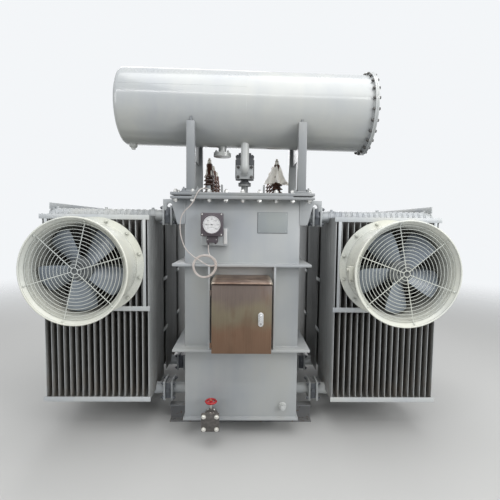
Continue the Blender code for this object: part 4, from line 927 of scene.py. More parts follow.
for name, side in SIDES:
    place = fan_frame(name)
    form = bmesh.new()
    lathe(form, drum_profile, place, 112, closed=True)
    ring_weld(form, place @ shift(0, 0, FAN_SHEET + 0.001), DRUM_RADIUS + 0.002, 0.004, 72)
    heights = [FAN_SHEET + DRUM_SEAM_LENGTH * k / 26 for k in range(27)]
    seam = [polar(place, DRUM_RADIUS + SEAT_GAP, radians(DRUM_SEAM_TURN), z) for z in heights]
    tube(form, seam, DRUM_SEAM, 6, 0.2)
    for k in range(FAN_BOLTS):
        seat = polar(place, FAN_FLANGE - FAN_BOLT_IN, tau * (k + 0.5) / FAN_BOLTS, FAN_SHEET)
        bolt(form, aim(seat, (0, -1, 0)), 0.02, THREAD_BELOW)
    gland = polar(place, DRUM_RADIUS + GLAND_OUT, radians(GLAND_TURN), GLAND_FORWARD)
    box(form, gland - Vector((0.018, 0.03, 0.046)), gland + Vector((0.016, 0.03, 0.046)), 0.003)
    lathe(form, GLAND_NUT_PROFILE, aim(gland + Vector((-0.017, -0.004, 0.022)), (-1, 0, 0)), 20)
    lathe(form, GLAND_PLUG_PROFILE, aim(gland + Vector((0, 0, -0.045)), (0, 0, -1)), 16)
    piece("fan_drum_" + name, form, fan_enamel, node="fan_shroud_" + name, sharp=40)


# The fan guards: welded rings of round wire on six spokes whose ends are bolted to the mouth, dipped in the
# same cream paint.
GUARD_FORWARD = 0.347
GUARD_RINGS = 14
GUARD_FIRST_RING = 0.021
GUARD_LAST_RING = 0.316
GUARD_WIRE = 0.0019
SPOKE_WIRE = 0.003
SPOKE_TURNS = {"left": 17, "right": 40}
SPOKES = 6
# A spoke's route: distance from the fan's axis, and how far its end is bent forward.
SPOKE_ROUTE = ((GUARD_FIRST_RING, 0), (0.12, 0), (0.2, 0), (0.28, 0), (0.318, 0), (0.326, 0.002),
               (0.332, 0.006), (0.338, 0.012))
SPOKE_BOLT_PLACE = (0.3375, GUARD_FORWARD + 0.008)
SPOKE_BOLT_AIM = (0.75, 0.66)
SPOKE_BOLT = 0.014
GUARD_CREAM = (0.6, 0.62, 0.575)

guard_enamel = enamel("guard_enamel", GUARD_CREAM, gloss=0.3, grime=0.3)
for name, side in SIDES:
    place = fan_frame(name)
    form = bmesh.new()
    for k in range(GUARD_RINGS):
        radius = GUARD_FIRST_RING + (GUARD_LAST_RING - GUARD_FIRST_RING) * k / (GUARD_RINGS - 1)
        wire = SPOKE_WIRE if k == 0 else GUARD_WIRE
        section = [(radius + wire * cos(tau * j / 6), wire * sin(tau * j / 6)) for j in range(6)]
        lathe(form, section, place @ shift(0, 0, GUARD_FORWARD), 72, closed=True)
    behind = GUARD_FORWARD - GUARD_WIRE - SPOKE_WIRE * 0.8
    for k in range(SPOKES):
        turn = radians(SPOKE_TURNS[name] + 360 * k / SPOKES)
        tube(form, [polar(place, r, turn, behind + bent) for r, bent in SPOKE_ROUTE], SPOKE_WIRE, 8)
        out, forward = SPOKE_BOLT_PLACE
        seat = polar(place, out, turn, forward)
        inward, ahead = SPOKE_BOLT_AIM
        way = place.to_3x3() @ Vector((-inward * cos(turn), -inward * sin(turn), ahead))
        bolt(form, aim(seat, way.normalized()), SPOKE_BOLT, 0.003)
    piece("guard_" + name, form, guard_enamel, node="fan_guard_" + name, sharp=60)


# The fan motors: finned cast cases carried in the drum on four flat arms, each with a terminal box and a
# short lead that runs along an arm to the gland in the drum's wall.
MOTOR_RADIUS = 0.082
MOTOR_START = 0.018
MOTOR_LENGTH = 0.14
MOTOR_END = MOTOR_START + MOTOR_LENGTH
MOTOR_FINS = 28
FIN_HEIGHT = 0.012
FIN_HALF = 0.0015
FIN_SINK = 0.002
FIN_ENDS = (MOTOR_START + 0.02, MOTOR_END - 0.033)
ARM_START = 0.026
ARM_THICK = 0.008
ARM_WIDTH = 0.03
ARM_SHORT = 0.0025
LEAD_SIZE = 0.0045
# The lead's route from the fan's middle: to the left, towards the front and up.
LEAD_ROUTE = ((-0.03, -0.08, 0.08), (-0.045, -0.079, 0.079), (-0.075, -0.07, 0.062), (-0.11, -0.055, 0.034),
              (-0.15, -0.046, 0.019), (-0.2, -0.042, 0.016), (-0.25, -0.045, 0.014), (-0.28, -0.08, 0.006),
              (-0.292, -0.13, -0.004), (-0.3, -0.165, -0.01))
MOTOR_GREY = (0.23, 0.255, 0.258)

motor_enamel = enamel("motor_enamel", MOTOR_GREY, gloss=0.4, grime=0.9)
case = MOTOR_RADIUS - FIN_HEIGHT
start, end = MOTOR_START, MOTOR_END
motor_profile = [(0, start), (case, start), (case + 0.006, start + 0.006), (case + 0.006, start + 0.018),
                 (case, start + 0.02), (case, end - 0.034), (case + 0.009, end - 0.032),
                 (case + 0.009, end - 0.018), (case - 0.014, end - 0.004), (0.034, end), (0.014, end),
                 (0.014, end + 0.026)]
fin_foot = case - FIN_SINK
fin = [(fin_foot, -FIN_HALF), (MOTOR_RADIUS, -FIN_HALF), (MOTOR_RADIUS, FIN_HALF), (fin_foot, FIN_HALF)]
for name, side in SIDES:
    place = fan_frame(name)
    form = bmesh.new()
    lathe(form, motor_profile, place, 48)
    for k in range(MOTOR_FINS):
        turned = place @ Matrix.Rotation(tau * k / MOTOR_FINS, 4, "Z")
        skin(form, [[turned @ Vector((x, y, z)) for x, y in fin] for z in FIN_ENDS])
    x, y, z = place.translation
    reach = DRUM_RADIUS - FAN_SHEET - ARM_SHORT
    y_high = y - ARM_START
    y_low = y_high - ARM_THICK
    half = ARM_WIDTH / 2
    box(form, (x - reach, y_low, z - half), (x + reach, y_high, z + half))
    for low_z, high_z in ((z - reach, z - half), (z + half, z + reach)):
        box(form, (x - half, y_low, low_z), (x + half, y_high, high_z))
    box(form, (x - 0.03, y - 0.11, z + 0.06), (x + 0.03, y - 0.05, z + 0.102), 0.004)
    tube(form, [place.translation + Vector(step) for step in LEAD_ROUTE], LEAD_SIZE, 8)
    piece("motor_" + name, form, motor_enamel, node="fan_motor_" + name, sharp=40)


# The fan rotors: a pressed hub with five broad twisted blades of sheet metal, pale blue-grey, which turns
# clockwise with its motor's shaft.
HUB_RADIUS = 0.078
HUB_LENGTH = 0.07
HUB_START = MOTOR_END + 0.0263
HUB_NUTS = 6
HUB_NUT_CIRCLE = 0.052
BLADE_COUNT = 5
BLADE_BACK = 0.006
BLADE_STEPS = 10
BLADE_RADIUS = 0.286
BLADE_ROOT = 0.066
BLADE_CHORDS = (0.105, 0.215)
BLADE_PITCHES = (36, 22)
BLADE_GAUGE = 0.0046
BLADE_CAMBER_SHARE = 0.09
# How far out along the blade a section lies and how wide the blade is there, as shares.
BLADE_SHARES = ((0, 0.92), (0.12, 1.0), (0.3, 1.02), (0.5, 1.02), (0.7, 1.01), (0.86, 0.99), (0.95, 0.93),
                (0.985, 0.84), (1.0, 0.68))
BLADE_BLUE = (0.215, 0.245, 0.28)
HUB_GREY = (0.12, 0.13, 0.135)
REST_TURN = -20


def add_blade(form, place, turn):
    """A cambered, twisted blade whose sections lie on cylinders round the axis."""
    rings = []
    middle = HUB_START + HUB_LENGTH / 2 - BLADE_BACK
    for out, wide in BLADE_SHARES:
        radius = BLADE_ROOT + out * (BLADE_RADIUS - BLADE_ROOT)
        chord = (BLADE_CHORDS[0] + out ** 0.85 * (BLADE_CHORDS[1] - BLADE_CHORDS[0])) * wide
        pitch = radians(BLADE_PITCHES[0] + out * (BLADE_PITCHES[1] - BLADE_PITCHES[0]))
        front = []
        rear = []
        for k in range(BLADE_STEPS + 1):
            along = 2 * k / BLADE_STEPS - 1
            run = along * chord / 2
            bow = BLADE_CAMBER_SHARE * chord * (1 - along ** 2)
            thick = BLADE_GAUGE / 2 * (0.25 + 0.75 * (1 - along ** 4))
            for line, lift in ((front, bow + thick), (rear, bow - thick)):
                sideways = run * cos(pitch) + lift * sin(pitch)
                forward = -run * sin(pitch) + lift * cos(pitch)
                line.append(polar(place, radius, turn + sideways / radius, middle + forward))
        rings.append(front + rear[::-1])
    skin(form, rings)


rotor_enamel = enamel("rotor_enamel", BLADE_BLUE, gloss=0.3, grime=0.5)
hub_enamel = enamel("hub_enamel", HUB_GREY, gloss=0.42, grime=0.8)
hub_end = HUB_START + HUB_LENGTH
hub_profile = [(0, HUB_START), (HUB_RADIUS - 0.003, HUB_START), (HUB_RADIUS, HUB_START + 0.003),
               (HUB_RADIUS, hub_end - 0.01), (HUB_RADIUS - 0.003, hub_end - 0.003), (HUB_RADIUS - 0.01, hub_end),
               (0.036, hub_end), (0.03, hub_end - 0.01), (0.018, hub_end - 0.01), (0.016, hub_end - 0.001),
               (0, hub_end - 0.001)]
for name, side in SIDES:
    place = fan_frame(name)
    form = bmesh.new()
    for k in range(BLADE_COUNT):
        add_blade(form, place, radians(REST_TURN + 360 * k / BLADE_COUNT))
    piece("blades_" + name, form, rotor_enamel, body="fan_rotor_" + name, node="fan_rotor_" + name,
          sharp=50)
    form = bmesh.new()
    lathe(form, hub_profile, place, 48)
    for k in range(HUB_NUTS):
        seat = polar(place, HUB_NUT_CIRCLE, tau * k / HUB_NUTS, hub_end)
        nut(form, aim(seat, (0, -1, 0)), 0.013, 0.007)
    piece("hub_" + name, form, hub_enamel, body="fan_rotor_" + name, node="fan_rotor_" + name,
          sharp=50)


# The conservator: the oil's expansion vessel, a cylinder rolled and welded from sheet steel, laid across
# above the cover. Its left end is dished, its right end has a ring flange, and below are sump and filling pipe.
BARREL_RADIUS = 0.281
BARREL_LEFT = 0.93
BARREL_RIGHT = 0.938
BARREL_TILT = 0.93
BARREL_BACK = 0.224
BARREL_RISE = 0.652
# The dished end: radius, and distance in from its outermost point.
DISH = ((0, 0), (0.15, 0.0015), (0.225, 0.005), (0.255, 0.01), (0.271, 0.018), (0.279, 0.03),
        (BARREL_RADIUS - 0.0012, 0.045), (BARREL_RADIUS, 0.13))
SHEET_JOINT = 0.02
# The sheets' long seams: where each starts and ends along the barrel, and its turn from the front.
LONG_SEAMS = ((-0.88, SHEET_JOINT, 19), (SHEET_JOINT, 0.92, 168))
RING_RADIUS = 0.305
RING_THICK = 0.014
RING_ROUND = 0.001
RING_BOLTS = 24
RING_BOLT_CIRCLE = 0.2935
RING_BOLT = 0.019
LID_THICK = 0.012
LID_CROWN = 0.014
FOOT_IN = 0.006
SUMP_PLACE = -0.846
SUMP_PROFILE = ((0.032, 0), (0.032, 0.018), (0.026, 0.028), (0.016, 0.034), (0.016, 0.0435))
FILL_PLACE = -0.158
FILL_FLANGE = 0.051
FILL_END = 0.081
FILL_PROFILE = ((0.031, 0), (0.031, FILL_FLANGE), (0.067, FILL_FLANGE), (0.068, 0.052), (0.068, 0.0645),
                (0.0665, 0.065), (0.0665, 0.0665), (0.068, 0.067), (0.068, 0.08), (0.067, FILL_END), (0, FILL_END))
FILL_BOLT = 0.018
FILL_HEAD = 0.0095
BARREL_GREY = (0.415, 0.428, 0.422)

axis_level = COVER_TOP + BARREL_RISE
barrel = shift(0, FRONT + BARREL_BACK, axis_level) @ Matrix.Rotation(radians(BARREL_TILT), 4, "Y")
along_barrel = barrel @ Matrix.Rotation(pi / 2, 4, "Y")
under_barrel = barrel @ Matrix.Rotation(pi, 4, "X")
turn_over = Matrix.Rotation(pi, 4, "X")


def barrel_point(along, turn, out):
    """A point on the barrel, at a distance along it and a turn from its front over its top."""
    radius = BARREL_RADIUS + out
    return barrel @ Vector((along, -radius * cos(turn), radius * sin(turn)))


def ring_edge(start, end):
    """The edge of the ring flange or of the lid on it, with its corners broken."""
    inner = RING_RADIUS - RING_ROUND
    return [(inner, start), (RING_RADIUS, start + RING_ROUND), (RING_RADIUS, end - RING_ROUND), (inner, end)]


def bolt_circle(count, radius):
    """Even places on a circle, the first of them half a step round."""
    for k in range(count):
        turn = tau * (k + 0.5) / count
        yield radius * cos(turn), radius * sin(turn)


barrel_enamel = enamel("barrel_enamel", BARREL_GREY, gloss=0.22, grime=0.12)
for name, value in (("Coat Weight", 0.35), ("Coat Roughness", 0.08)):
    barrel_enamel.node_tree.nodes["Principled BSDF"].inputs[name].default_value = value
form = bmesh.new()
ring_start = BARREL_RIGHT - RING_THICK
barrel_profile = [(radius, depth - BARREL_LEFT) for radius, depth in DISH]
barrel_profile += [(BARREL_RADIUS, 0), (BARREL_RADIUS, 0.5), (BARREL_RADIUS, ring_start)]
barrel_profile += [*ring_edge(ring_start, BARREL_RIGHT), (0, BARREL_RIGHT)]
lathe(form, barrel_profile, along_barrel, 144)
ring_weld(form, along_barrel @ shift(0, 0, 0.046 - BARREL_LEFT), BARREL_RADIUS - 0.0046, 0.003, 110)
ring_weld(form, along_barrel @ shift(0, 0, ring_start), BARREL_RADIUS + 0.001, WELD_SIZE, 110)
for first, last, turn in LONG_SEAMS:
    seam = [barrel_point(first + (last - first) * k / 90, radians(turn), -0.0026) for k in range(91)]
    tube(form, seam, 0.0032, 6, 0.1)
ring_weld(form, along_barrel @ shift(0, 0, SHEET_JOINT), BARREL_RADIUS - 0.0028, 0.0033, 110)
sump = under_barrel @ shift(SUMP_PLACE, 0, BARREL_RADIUS - FOOT_IN)
lathe(form, SUMP_PROFILE, sump, 28)
nut(form, sump @ shift(0, 0, 0.034), 0.026, 0.0115)
fill = under_barrel @ shift(FILL_PLACE, 0, BARREL_RADIUS - FOOT_IN)
lathe(form, FILL_PROFILE, fill, 40)
ring_weld(form, fill @ shift(0, 0, 0.007), 0.032, WELD_SIZE, 32)
for x, y in bolt_circle(6, 0.052):
    nut(form, fill @ shift(x, y, FILL_END - FILL_HEAD), FILL_BOLT, FILL_HEAD)
    bolt(form, fill @ shift(x, y, FILL_FLANGE) @ turn_over, FILL_BOLT, THREAD_BELOW)
piece("barrel", form, barrel_enamel, node="conservator_shell", sharp=40)

form = bmesh.new()
lid = BARREL_RIGHT + SEAT_GAP
lid_end = lid + LID_THICK
lid_profile = [(0, lid), *ring_edge(lid, lid_end), (0.262, lid_end), (0.252, lid_end + 0.002),
               (0.236, lid_end + 0.011), (0.222, lid_end + LID_CROWN), (0, lid_end + LID_CROWN)]
lathe(form, lid_profile, along_barrel, 128)
piece("barrel_cover", form, barrel_enamel, node="conservator_end_cover", sharp=40)

form = bmesh.new()
for x, y in bolt_circle(RING_BOLTS, RING_BOLT_CIRCLE):
    bolt(form, along_barrel @ shift(x, y, ring_start) @ turn_over, RING_BOLT, 0.005)
    nut(form, along_barrel @ shift(x, y, lid_end), RING_BOLT, 0.011)
dark_steel = steel("dark_bolt_steel", (0.16, 0.155, 0.15), 0.5, 0.8)
piece("barrel_bolts", form, dark_steel)


# The oil level gauge: a cream-white painted pressed case on the conservator's end, with a round glazed face
# and a pointer over a plain scale.
GAUGE_OUT = 0.075
GAUGE_PROFILE = ((0.0585, 0), (0.0585, 0.006), (0.048, 0.01), (0.048, 0.026), (0.06, 0.03), (0.062, 0.033),
                 (0.062, 0.046), (0.06, 0.054), (0.056, 0.058), (0.051, 0.0592), (0.05, 0.056), (0, 0.056))
GAUGE_MARKS = 11
MARK_CIRCLE = 0.039
MARK_HALF = 0.004
MARK_LEVEL = 0.057
NEEDLE_LEVEL = 0.0578
GAUGE_GREY = (0.655, 0.655, 0.61)
DIAL_INK = (0.02, 0.02, 0.022)
gauge = along_barrel @ shift(GAUGE_OUT, 0, lid_end + LID_CROWN + SEAT_GAP)


def printed_dial(name, white, yellowed):
    """A dial's printed sheet: plain white, a little yellowed and mottled."""
    material, shader, here = new_finish(name)
    feed(shader, Base_Color=grain(here, 60, 3).between(0.3, 0.7).mix(white, yellowed))
    shader.inputs["Roughness"].default_value = 0.45
    shader.inputs["Coat Weight"].default_value = 0.7
    shader.inputs["Coat Roughness"].default_value = 0.05
    return material


form = bmesh.new()
lathe(form, GAUGE_PROFILE, gauge, 56)
gauge_enamel = enamel("gauge_enamel", GAUGE_GREY, 0.3, 0.3)
piece("level_gauge", form, gauge_enamel, node="oil_level_gauge")
form = bmesh.new()
lathe(form, [(0.049, 0), (0.049, 0.0006)], gauge @ shift(0, 0, 0.0561), 48)
gauge_dial = printed_dial("gauge_dial", (0.74, 0.73, 0.69), (0.66, 0.64, 0.58))
piece("level_gauge_face", form, gauge_dial, node="oil_level_gauge")
form = bmesh.new()
for k in range(GAUGE_MARKS):
    mark = gauge @ Matrix.Rotation(radians(-60 + 12 * k), 4, "Z") @ shift(-MARK_CIRCLE, 0, MARK_LEVEL)
    tube(form, [mark @ Vector((x, 0, 0)) for x in (-MARK_HALF, MARK_HALF)], 0.0007, 5)
needle = gauge @ Matrix.Rotation(radians(22), 4, "Z")
tube(form, [needle @ Vector((x, 0, NEEDLE_LEVEL)) for x in (0.01, -0.034)], 0.0011, 6)
lathe(form, [(0.005, 0), (0.005, 0.0015)], gauge @ shift(0, 0, 0.0565), 20)
piece("level_gauge_marks", form, enamel("dial_black", DIAL_INK, 0.5, 0.0))


# The conservator's supports: two trestles on the cover, each of two square posts, a saddle plate cut to the
# barrel's curve and bolted foot plates, all in plain grey enamel.
POST_SIZE = 0.06
POST_SPREAD = 0.508
POST_TOP = COVER_TOP + 0.501
POST_SINK = 0.004
SADDLE_LOW = COVER_TOP + 0.261
SADDLE_THICK = 0.012
SADDLE_STEPS = 32
FOOT_PLATE = 0.13
FOOT_THICK = 0.012
FOOT_PAST = 0.012
FOOT_BOLT = 0.024
FOOT_BOLT_X = 0.049
FOOT_BOLT_INNER = 0.072
FOOT_BOLT_OUTER = 0.018

for name in ("left", "right"):
    low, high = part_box("conservator_support_" + name)
    x = (low.x + high.x) / 2
    form = bmesh.new()
    middle_y = FRONT + BARREL_BACK
    half = POST_SIZE / 2
    foot, foot_top = low.z, low.z + FOOT_THICK
    for way in (-1, 1):
        y = middle_y + way * POST_SPREAD / 2
        box(form, (x - half, y - half, foot + POST_SINK), (x + half, y + half, POST_TOP), 0.005)
        ends = (y - way * (FOOT_PLATE - half), y + way * (half + FOOT_PAST))
        box(form, (x - FOOT_PLATE / 2, min(ends), foot), (x + FOOT_PLATE / 2, max(ends), foot_top), 0.001)
        for dx in (-1, 1):
            edge_x, bolt_x = x + dx * half, x + dx * FOOT_BOLT_X
            weld(form, (edge_x, y - half, foot_top), (edge_x, y + half, foot_top))
            for bolt_y in (y - way * FOOT_BOLT_INNER, y + way * FOOT_BOLT_OUTER):
                bolt(form, shift(bolt_x, bolt_y, foot_top), FOOT_BOLT, 0.012)
        for edge_y in (y - half, y + half):
            weld(form, (x - half, edge_y, foot_top), (x + half, edge_y, foot_top))
    centre = barrel @ Vector((x, 0, 0))
    reach = BARREL_RADIUS - OVERLAP
    spread = POST_SPREAD / 2
    arc = []
    for k in range(SADDLE_STEPS + 1):
        across = spread * (2 * k / SADDLE_STEPS - 1)
        arc.append((centre.y + across, centre.z - (reach ** 2 - across ** 2) ** 0.5))
    y0, y1 = middle_y - spread, middle_y + spread
    outline = [(y0, SADDLE_LOW), (y0, arc[0][1])] + arc + [(y1, arc[-1][1]), (y1, SADDLE_LOW)]
    faces = (x - SADDLE_THICK / 2, x + SADDLE_THICK / 2)
    skin(form, [[(face, y, z) for y, z in outline] for face in faces])
    for face in faces:
        tube(form, [(face, y, z) for y, z in arc], CAP_WELD, 6, 0.2)
    # The trestles wear the tank's grey darkened as painted shade, like the rim and cover.
    piece("trestle_" + name, form, cover_enamel, node="conservator_support_" + name)


# The gas relay and its pipe: a bent steel pipe from the conservator to a square bolted flange, the relay's
# dark cast body with cooling ribs, sight glasses and a test cock, and the cover's riser that it stands on.
PIPE_RADIUS = 0.031
PIPE_BACK = FRONT + 0.15
PIPE_BEND = 0.04
PIPE_TOP = axis_level - 0.15
PIPE_BOLTS = (0.052, 0.038)
RELAY_LEVEL = COVER_TOP + 0.183
RELAY_HALF = 0.052
RELAY_SIDE = 0.074
RIB_COUNT = 5
RIB_PITCH = 0.025
RIB_START = 0.03
RIB_THICK = 0.007
RELAY_COCK_PROFILE = ((0.011, 0), (0.011, 0.012), (0.007, 0.014), (0, 0.014))
SIGHT_GLASS_PROFILE = ((0.026, 0), (0.026, 0.006), (0.02, 0.0075), (0.019, 0.005), (0, 0.005))
RELAY_BLACK = (0.075, 0.08, 0.088)

pipe_low, pipe_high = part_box("relay_pipe")
x = RISER[0]
form = bmesh.new()
flange_y = relay_low.y - SEAT_GAP - RISER_FLANGE
route = [(x, PIPE_BACK, PIPE_TOP), (x, PIPE_BACK, RELAY_LEVEL + PIPE_BEND + 0.02)]
for angle in range(0, 91, 10):
    turn = radians(angle)
    route.append((x, PIPE_BACK + PIPE_BEND * (1 - cos(turn)), RELAY_LEVEL + PIPE_BEND * (1 - sin(turn))))
route.append((x, flange_y + 0.004, RELAY_LEVEL))
tube(form, route, PIPE_RADIUS, 32)
half = (pipe_high.x - pipe_low.x) / 2
box(form, (x - half, flange_y, RELAY_LEVEL - RELAY_HALF),
    (x + half, flange_y + RISER_FLANGE, RELAY_LEVEL + RELAY_HALF), 0.002)
ring_weld(form, front_seat(x, flange_y, RELAY_LEVEL), PIPE_RADIUS, WELD_SIZE, 32)
piece("relay_elbow", form, header_enamel, node="relay_pipe")
form = bmesh.new()
bolt_x, bolt_z = PIPE_BOLTS
for dx in (-bolt_x, bolt_x):
    for dz in (-bolt_z, bolt_z):
        bolt(form, front_seat(x + dx, flange_y, RELAY_LEVEL + dz), 0.02, THREAD_ABOVE)
piece("relay_bolts", form, dark_steel)

relay_enamel = enamel("relay_enamel", RELAY_BLACK, gloss=0.38, grime=1.0)
form = bmesh.new()
front, back, top = relay_low.y, relay_high.y, relay_high.z
foot = RELAY_LEVEL - RELAY_HALF
middle_y = (front + back) / 2
# Half width, front, back, foot, top and edge of the relay's case, end flanges, ribs, lid and hood.
blocks = [(0.066, front + 0.008, back - 0.008, foot, top - 0.034, 0.008),
          (RELAY_SIDE, front, front + 0.016, foot + 0.004, top - 0.06, 0.003),
          (RELAY_SIDE, back - 0.016, back, foot + 0.004, top - 0.06, 0.003)]
for k in range(RIB_COUNT):
    z = foot + RIB_START + k * RIB_PITCH
    blocks.append((RELAY_SIDE, front + 0.014, back - 0.014, z, z + RIB_THICK, 0.002))
blocks.append((0.072, front + 0.004, back - 0.004, top - 0.04, top - 0.028, 0.002))
blocks.append((0.05, front + 0.02, back - 0.03, top - 0.03, top - 0.004, 0.005))
for half, y0, y1, z0, z1, edge in blocks:
    box(form, (x - half, y0, z0), (x + half, y1, z1), edge)
lathe(form, RELAY_COCK_PROFILE, shift(x + 0.03, back - 0.02, top - 0.029), 20)
for dx in (-0.058, 0.058):
    for y in (front + 0.018, back - 0.018):
        nut(form, shift(x + dx, y, top - 0.028), 0.014, 0.008)
foot_profile = [(RISER_FLANGE_RADIUS, relay_low.z), (RISER_FLANGE_RADIUS, relay_low.z + 0.013),
                (0.03, relay_low.z + 0.015), (0.03, foot + 0.004)]
lathe(form, foot_profile, shift(x, middle_y, 0), 32)
for dx, dy in bolt_circle(4, 0.04):
    nut(form, shift(x + dx, middle_y + dy, relay_low.z + 0.013), 0.015, 0.009)
piece("relay_body", form, relay_enamel, node="gas_relay")

form = bmesh.new()
for side in (-1, 1):
    glass = aim((x + side * 0.0655, middle_y, RELAY_LEVEL + 0.03), (side, 0, 0))
    lathe(form, SIGHT_GLASS_PROFILE, glass, 32)
piece("relay_sight_glasses", form, zinc)


# The bushings: brown glazed porcelain insulators in a row along each side of the cover, clamped down by a
# cast ring with bolts and topped with a threaded stud. Dust dulls the glaze on top of the sheds.
SHEDS = 5
SHED_PITCH = 0.034
SHED_START = 0.046
SHED_RADIUS = 0.059
SHED_TAPER = 0.0025
# One shed from its foot up, as radius and height; its lip's radii are distances in from the shed's edge.
SHED_ROOT = ((0.036, 0), (0.038, 0.004))
SHED_LIP = ((0.002, 0.006), (0, 0.009), (0.003, 0.013))
SHED_TOP = ((0.042, 0.022), (0.036, 0.028))
BUSHING_FOOT = ((0.05, 0), (0.05, 0.034), (0.042, 0.04))
BUSHING_HEAD = ((0.033, 0.222), (0.031, 0.25), (0.028, 0.262), (0.028, 0.298), (0.024, 0.305), (0, 0.305))
STUD_PROFILE = ((0.021, 0.304), (0.021, 0.312), (0.0098, 0.313), (0.0098, 0.353), (0.008, 0.355), (0, 0.355))
CLAMP_PROFILE = ((0.05, 0), (0.062, 0), (0.062, 0.014), (0.052, 0.022), (0.05, 0.022))
PORCELAIN_BROWN = (0.105, 0.036, 0.018)


def glaze(name):
    """Brown glaze, pooled darker and streaked, with dust on the upper sides."""
    material, shader, here = new_finish(name)
    cloud = grain(here, 14, 4)
    tone = cloud.between(0.3, 0.7).mix((0.06, 0.02, 0.011), PORCELAIN_BROWN)
    dusty = facing_up(here) * grain(here, 70, 3).between(0.35, 0.7) * 0.55
    feed(shader, Base_Color=dusty.mix(tone, (0.33, 0.3, 0.26)), Roughness=0.12 + dusty * 0.6 + cloud * 0.06)
    emboss(shader, grain(here, 180, 2), 0.08, 0.0008)
    return material


porcelain = glaze("brown_glaze")
bushing_profile = [*BUSHING_FOOT]
for k in range(SHEDS):
    foot = SHED_START + k * SHED_PITCH
    out = SHED_RADIUS - SHED_TAPER * k
    shed = [*SHED_ROOT, *[(out - inward, z) for inward, z in SHED_LIP], *SHED_TOP]
    bushing_profile += [(radius, foot + z) for radius, z in shed]
bushing_profile += BUSHING_HEAD
metal = bmesh.new()
clamps = bmesh.new()
for kind in ("high", "low"):
    for count in range(3):
        name = f"{kind}_voltage_bushing_{count + 1}"
        low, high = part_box(name)
        place = shift((low.x + high.x) / 2, (low.y + high.y) / 2, low.z)
        form = bmesh.new()
        lathe(form, bushing_profile, place, 48)
        piece(name + "_porcelain", form, porcelain, node=name, sharp=50)
        lathe(metal, STUD_PROFILE, place, 24)
        for level, thick in ((0.313, 0.012), (0.33, 0.01)):
            nut(metal, place @ shift(0, 0, level), 0.03, thick)
        lathe(clamps, CLAMP_PROFILE, place, 40, closed=True)
        for x, y in bolt_circle(4, 0.0545):
            nut(clamps, place @ shift(x, y, 0.017), 0.013, 0.014)
piece("bushing_studs", metal, steel("stud_tin", (0.58, 0.55, 0.48), 0.34, 0.6))
piece("bushing_clamps", clamps, tank_enamel)


# The film: a bag of cloudy plastic tied over the front right bushing for transport, crumpled in upright
# folds, and a scrap of the same film bound round the head of the front left one.
FILM_GAUGE = 0.0012
FILM_STEPS = 96
FILM_ROWS = 22
FILM_HEM = 0.016
FILM_CREAM = (0.93, 0.905, 0.85)
FILM_PAINTED_GLOW = 0.13
# Piece, the node it hangs on, its foot and top in from the node's, the radii there, and how many folds, how
# deep and which crumple.
WRAPS = (("bushing_bag", "bushing_film", (0.016, 0.001), (0.108, 0.013), (7, 0.24, 3.7)),
         ("bushing_scrap", "high_voltage_bushing_1", (0.185, 0.02), (0.052, 0.026), (5, 0.12, 9.2)))


def cloudy_film(name):
    """Thin cloudy plastic, clearer in patches, with a faint painted glow that stands in for light shining through
    it.
    """
    material, shader, here = new_finish(name)
    fold = grain(here, 26, 4, (1, 1, 0.4))
    tone = fold.between(0.3, 0.7).mix((0.78, 0.755, 0.69), FILM_CREAM)
    feed(shader, Base_Color=tone, Roughness=0.22 + fold * 0.25, Alpha=0.84 + fold.between(0.35, 0.65) * 0.15)
    emboss(shader, fold, 0.5, 0.004)
    # Painted glow: the film gives off a little cream light of its own.
    shader.inputs["Emission Color"].default_value = (*FILM_CREAM, 1)
    shader.inputs["Emission Strength"].default_value = FILM_PAINTED_GLOW
    return material


def add_wrap(form, centre, ends, radii, crumple):
    """A crumpled cone of sheet: upright folds that run out towards the tied top, with a ragged hem."""
    (foot, top), (foot_radius, top_radius), (folds, depth, seed) = ends, radii, crumple
    rings = []
    for sheet, order in ((FILM_GAUGE, range(FILM_ROWS, -1, -1)), (0, range(FILM_ROWS + 1))):
        for share in [row / FILM_ROWS for row in order]:
            wide = foot_radius + (top_radius - foot_radius) * share ** 0.85
            ring = []
            for k in range(FILM_STEPS):
                turn = tau * k / FILM_STEPS
                crush = noise.noise(Vector((cos(turn) * 2.2, sin(turn) * 2.2, share * 3.1 + seed)))
                fold = sin(turn * folds + 2.4 * crush + share * 1.3) * depth * (1 - share) ** 0.6
                radius = wide * (1 + fold + 0.26 * crush * (1 - share * 0.4)) - sheet - 0.012
                hem = FILM_HEM * noise.noise(Vector((cos(turn) * 3, sin(turn) * 3, seed))) * (1 - share)
                level = foot + (top - foot) * share + hem
                ring.append(polar(centre, max(radius, 0.004), turn, level))
            rings.append(ring)
    skin(form, rings)


film_finish = cloudy_film("cloudy_film")
for name, node, (above, below), radii, crumple in WRAPS:
    low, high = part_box(node)
    form = bmesh.new()
    centre = shift((low.x + high.x) / 2, (low.y + high.y) / 2, 0)
    add_wrap(form, centre, (low.z + above, high.z - below), radii, crumple)
    piece(name, form, film_finish, node=node if node == "bushing_film" else None, sharp=70)


# The control cabinet: a folded and welded box of bronze-toned brushed stainless sheet, screwed to the ribs on
# two rails, with a galvanised mounting plate for the fan controls inside.
CABINET_FRONT = FRONT - 0.2463
CABINET_BACK = FRONT - 0.0143
CABINET_SIDE = 0.202
CABINET_SHEET = 0.004
CABINET_LIP = 0.016
LIP_SHEET = 0.002
SHEET_EDGE = 0.0012
HANGER_HEIGHT = 0.03
HINGE_INSET = 0.06
HINGE_LENGTH = 0.036
HINGE_RADIUS = 0.006
HINGE_ROUND = 0.0008
HINGE_LEAF_HALF = 0.002
HINGE_LEAF_DEPTH = 0.034
HINGE_PLAY = 0.001
BOARD_SIDE = 0.18
BOARD_INSET = 0.022
BOARD_FRONT = CABINET_BACK - 0.02
BOARD_BOLTS = (0.168, 0.036)
RAIL_SIDE = 0.16
RAIL_LEVELS = (0.11, 0.235, 0.36)
RAIL_HEIGHT = 0.035
RAIL_FRONT = CABINET_BACK - 0.027
BRONZE_LOW = (0.195, 0.12, 0.08)
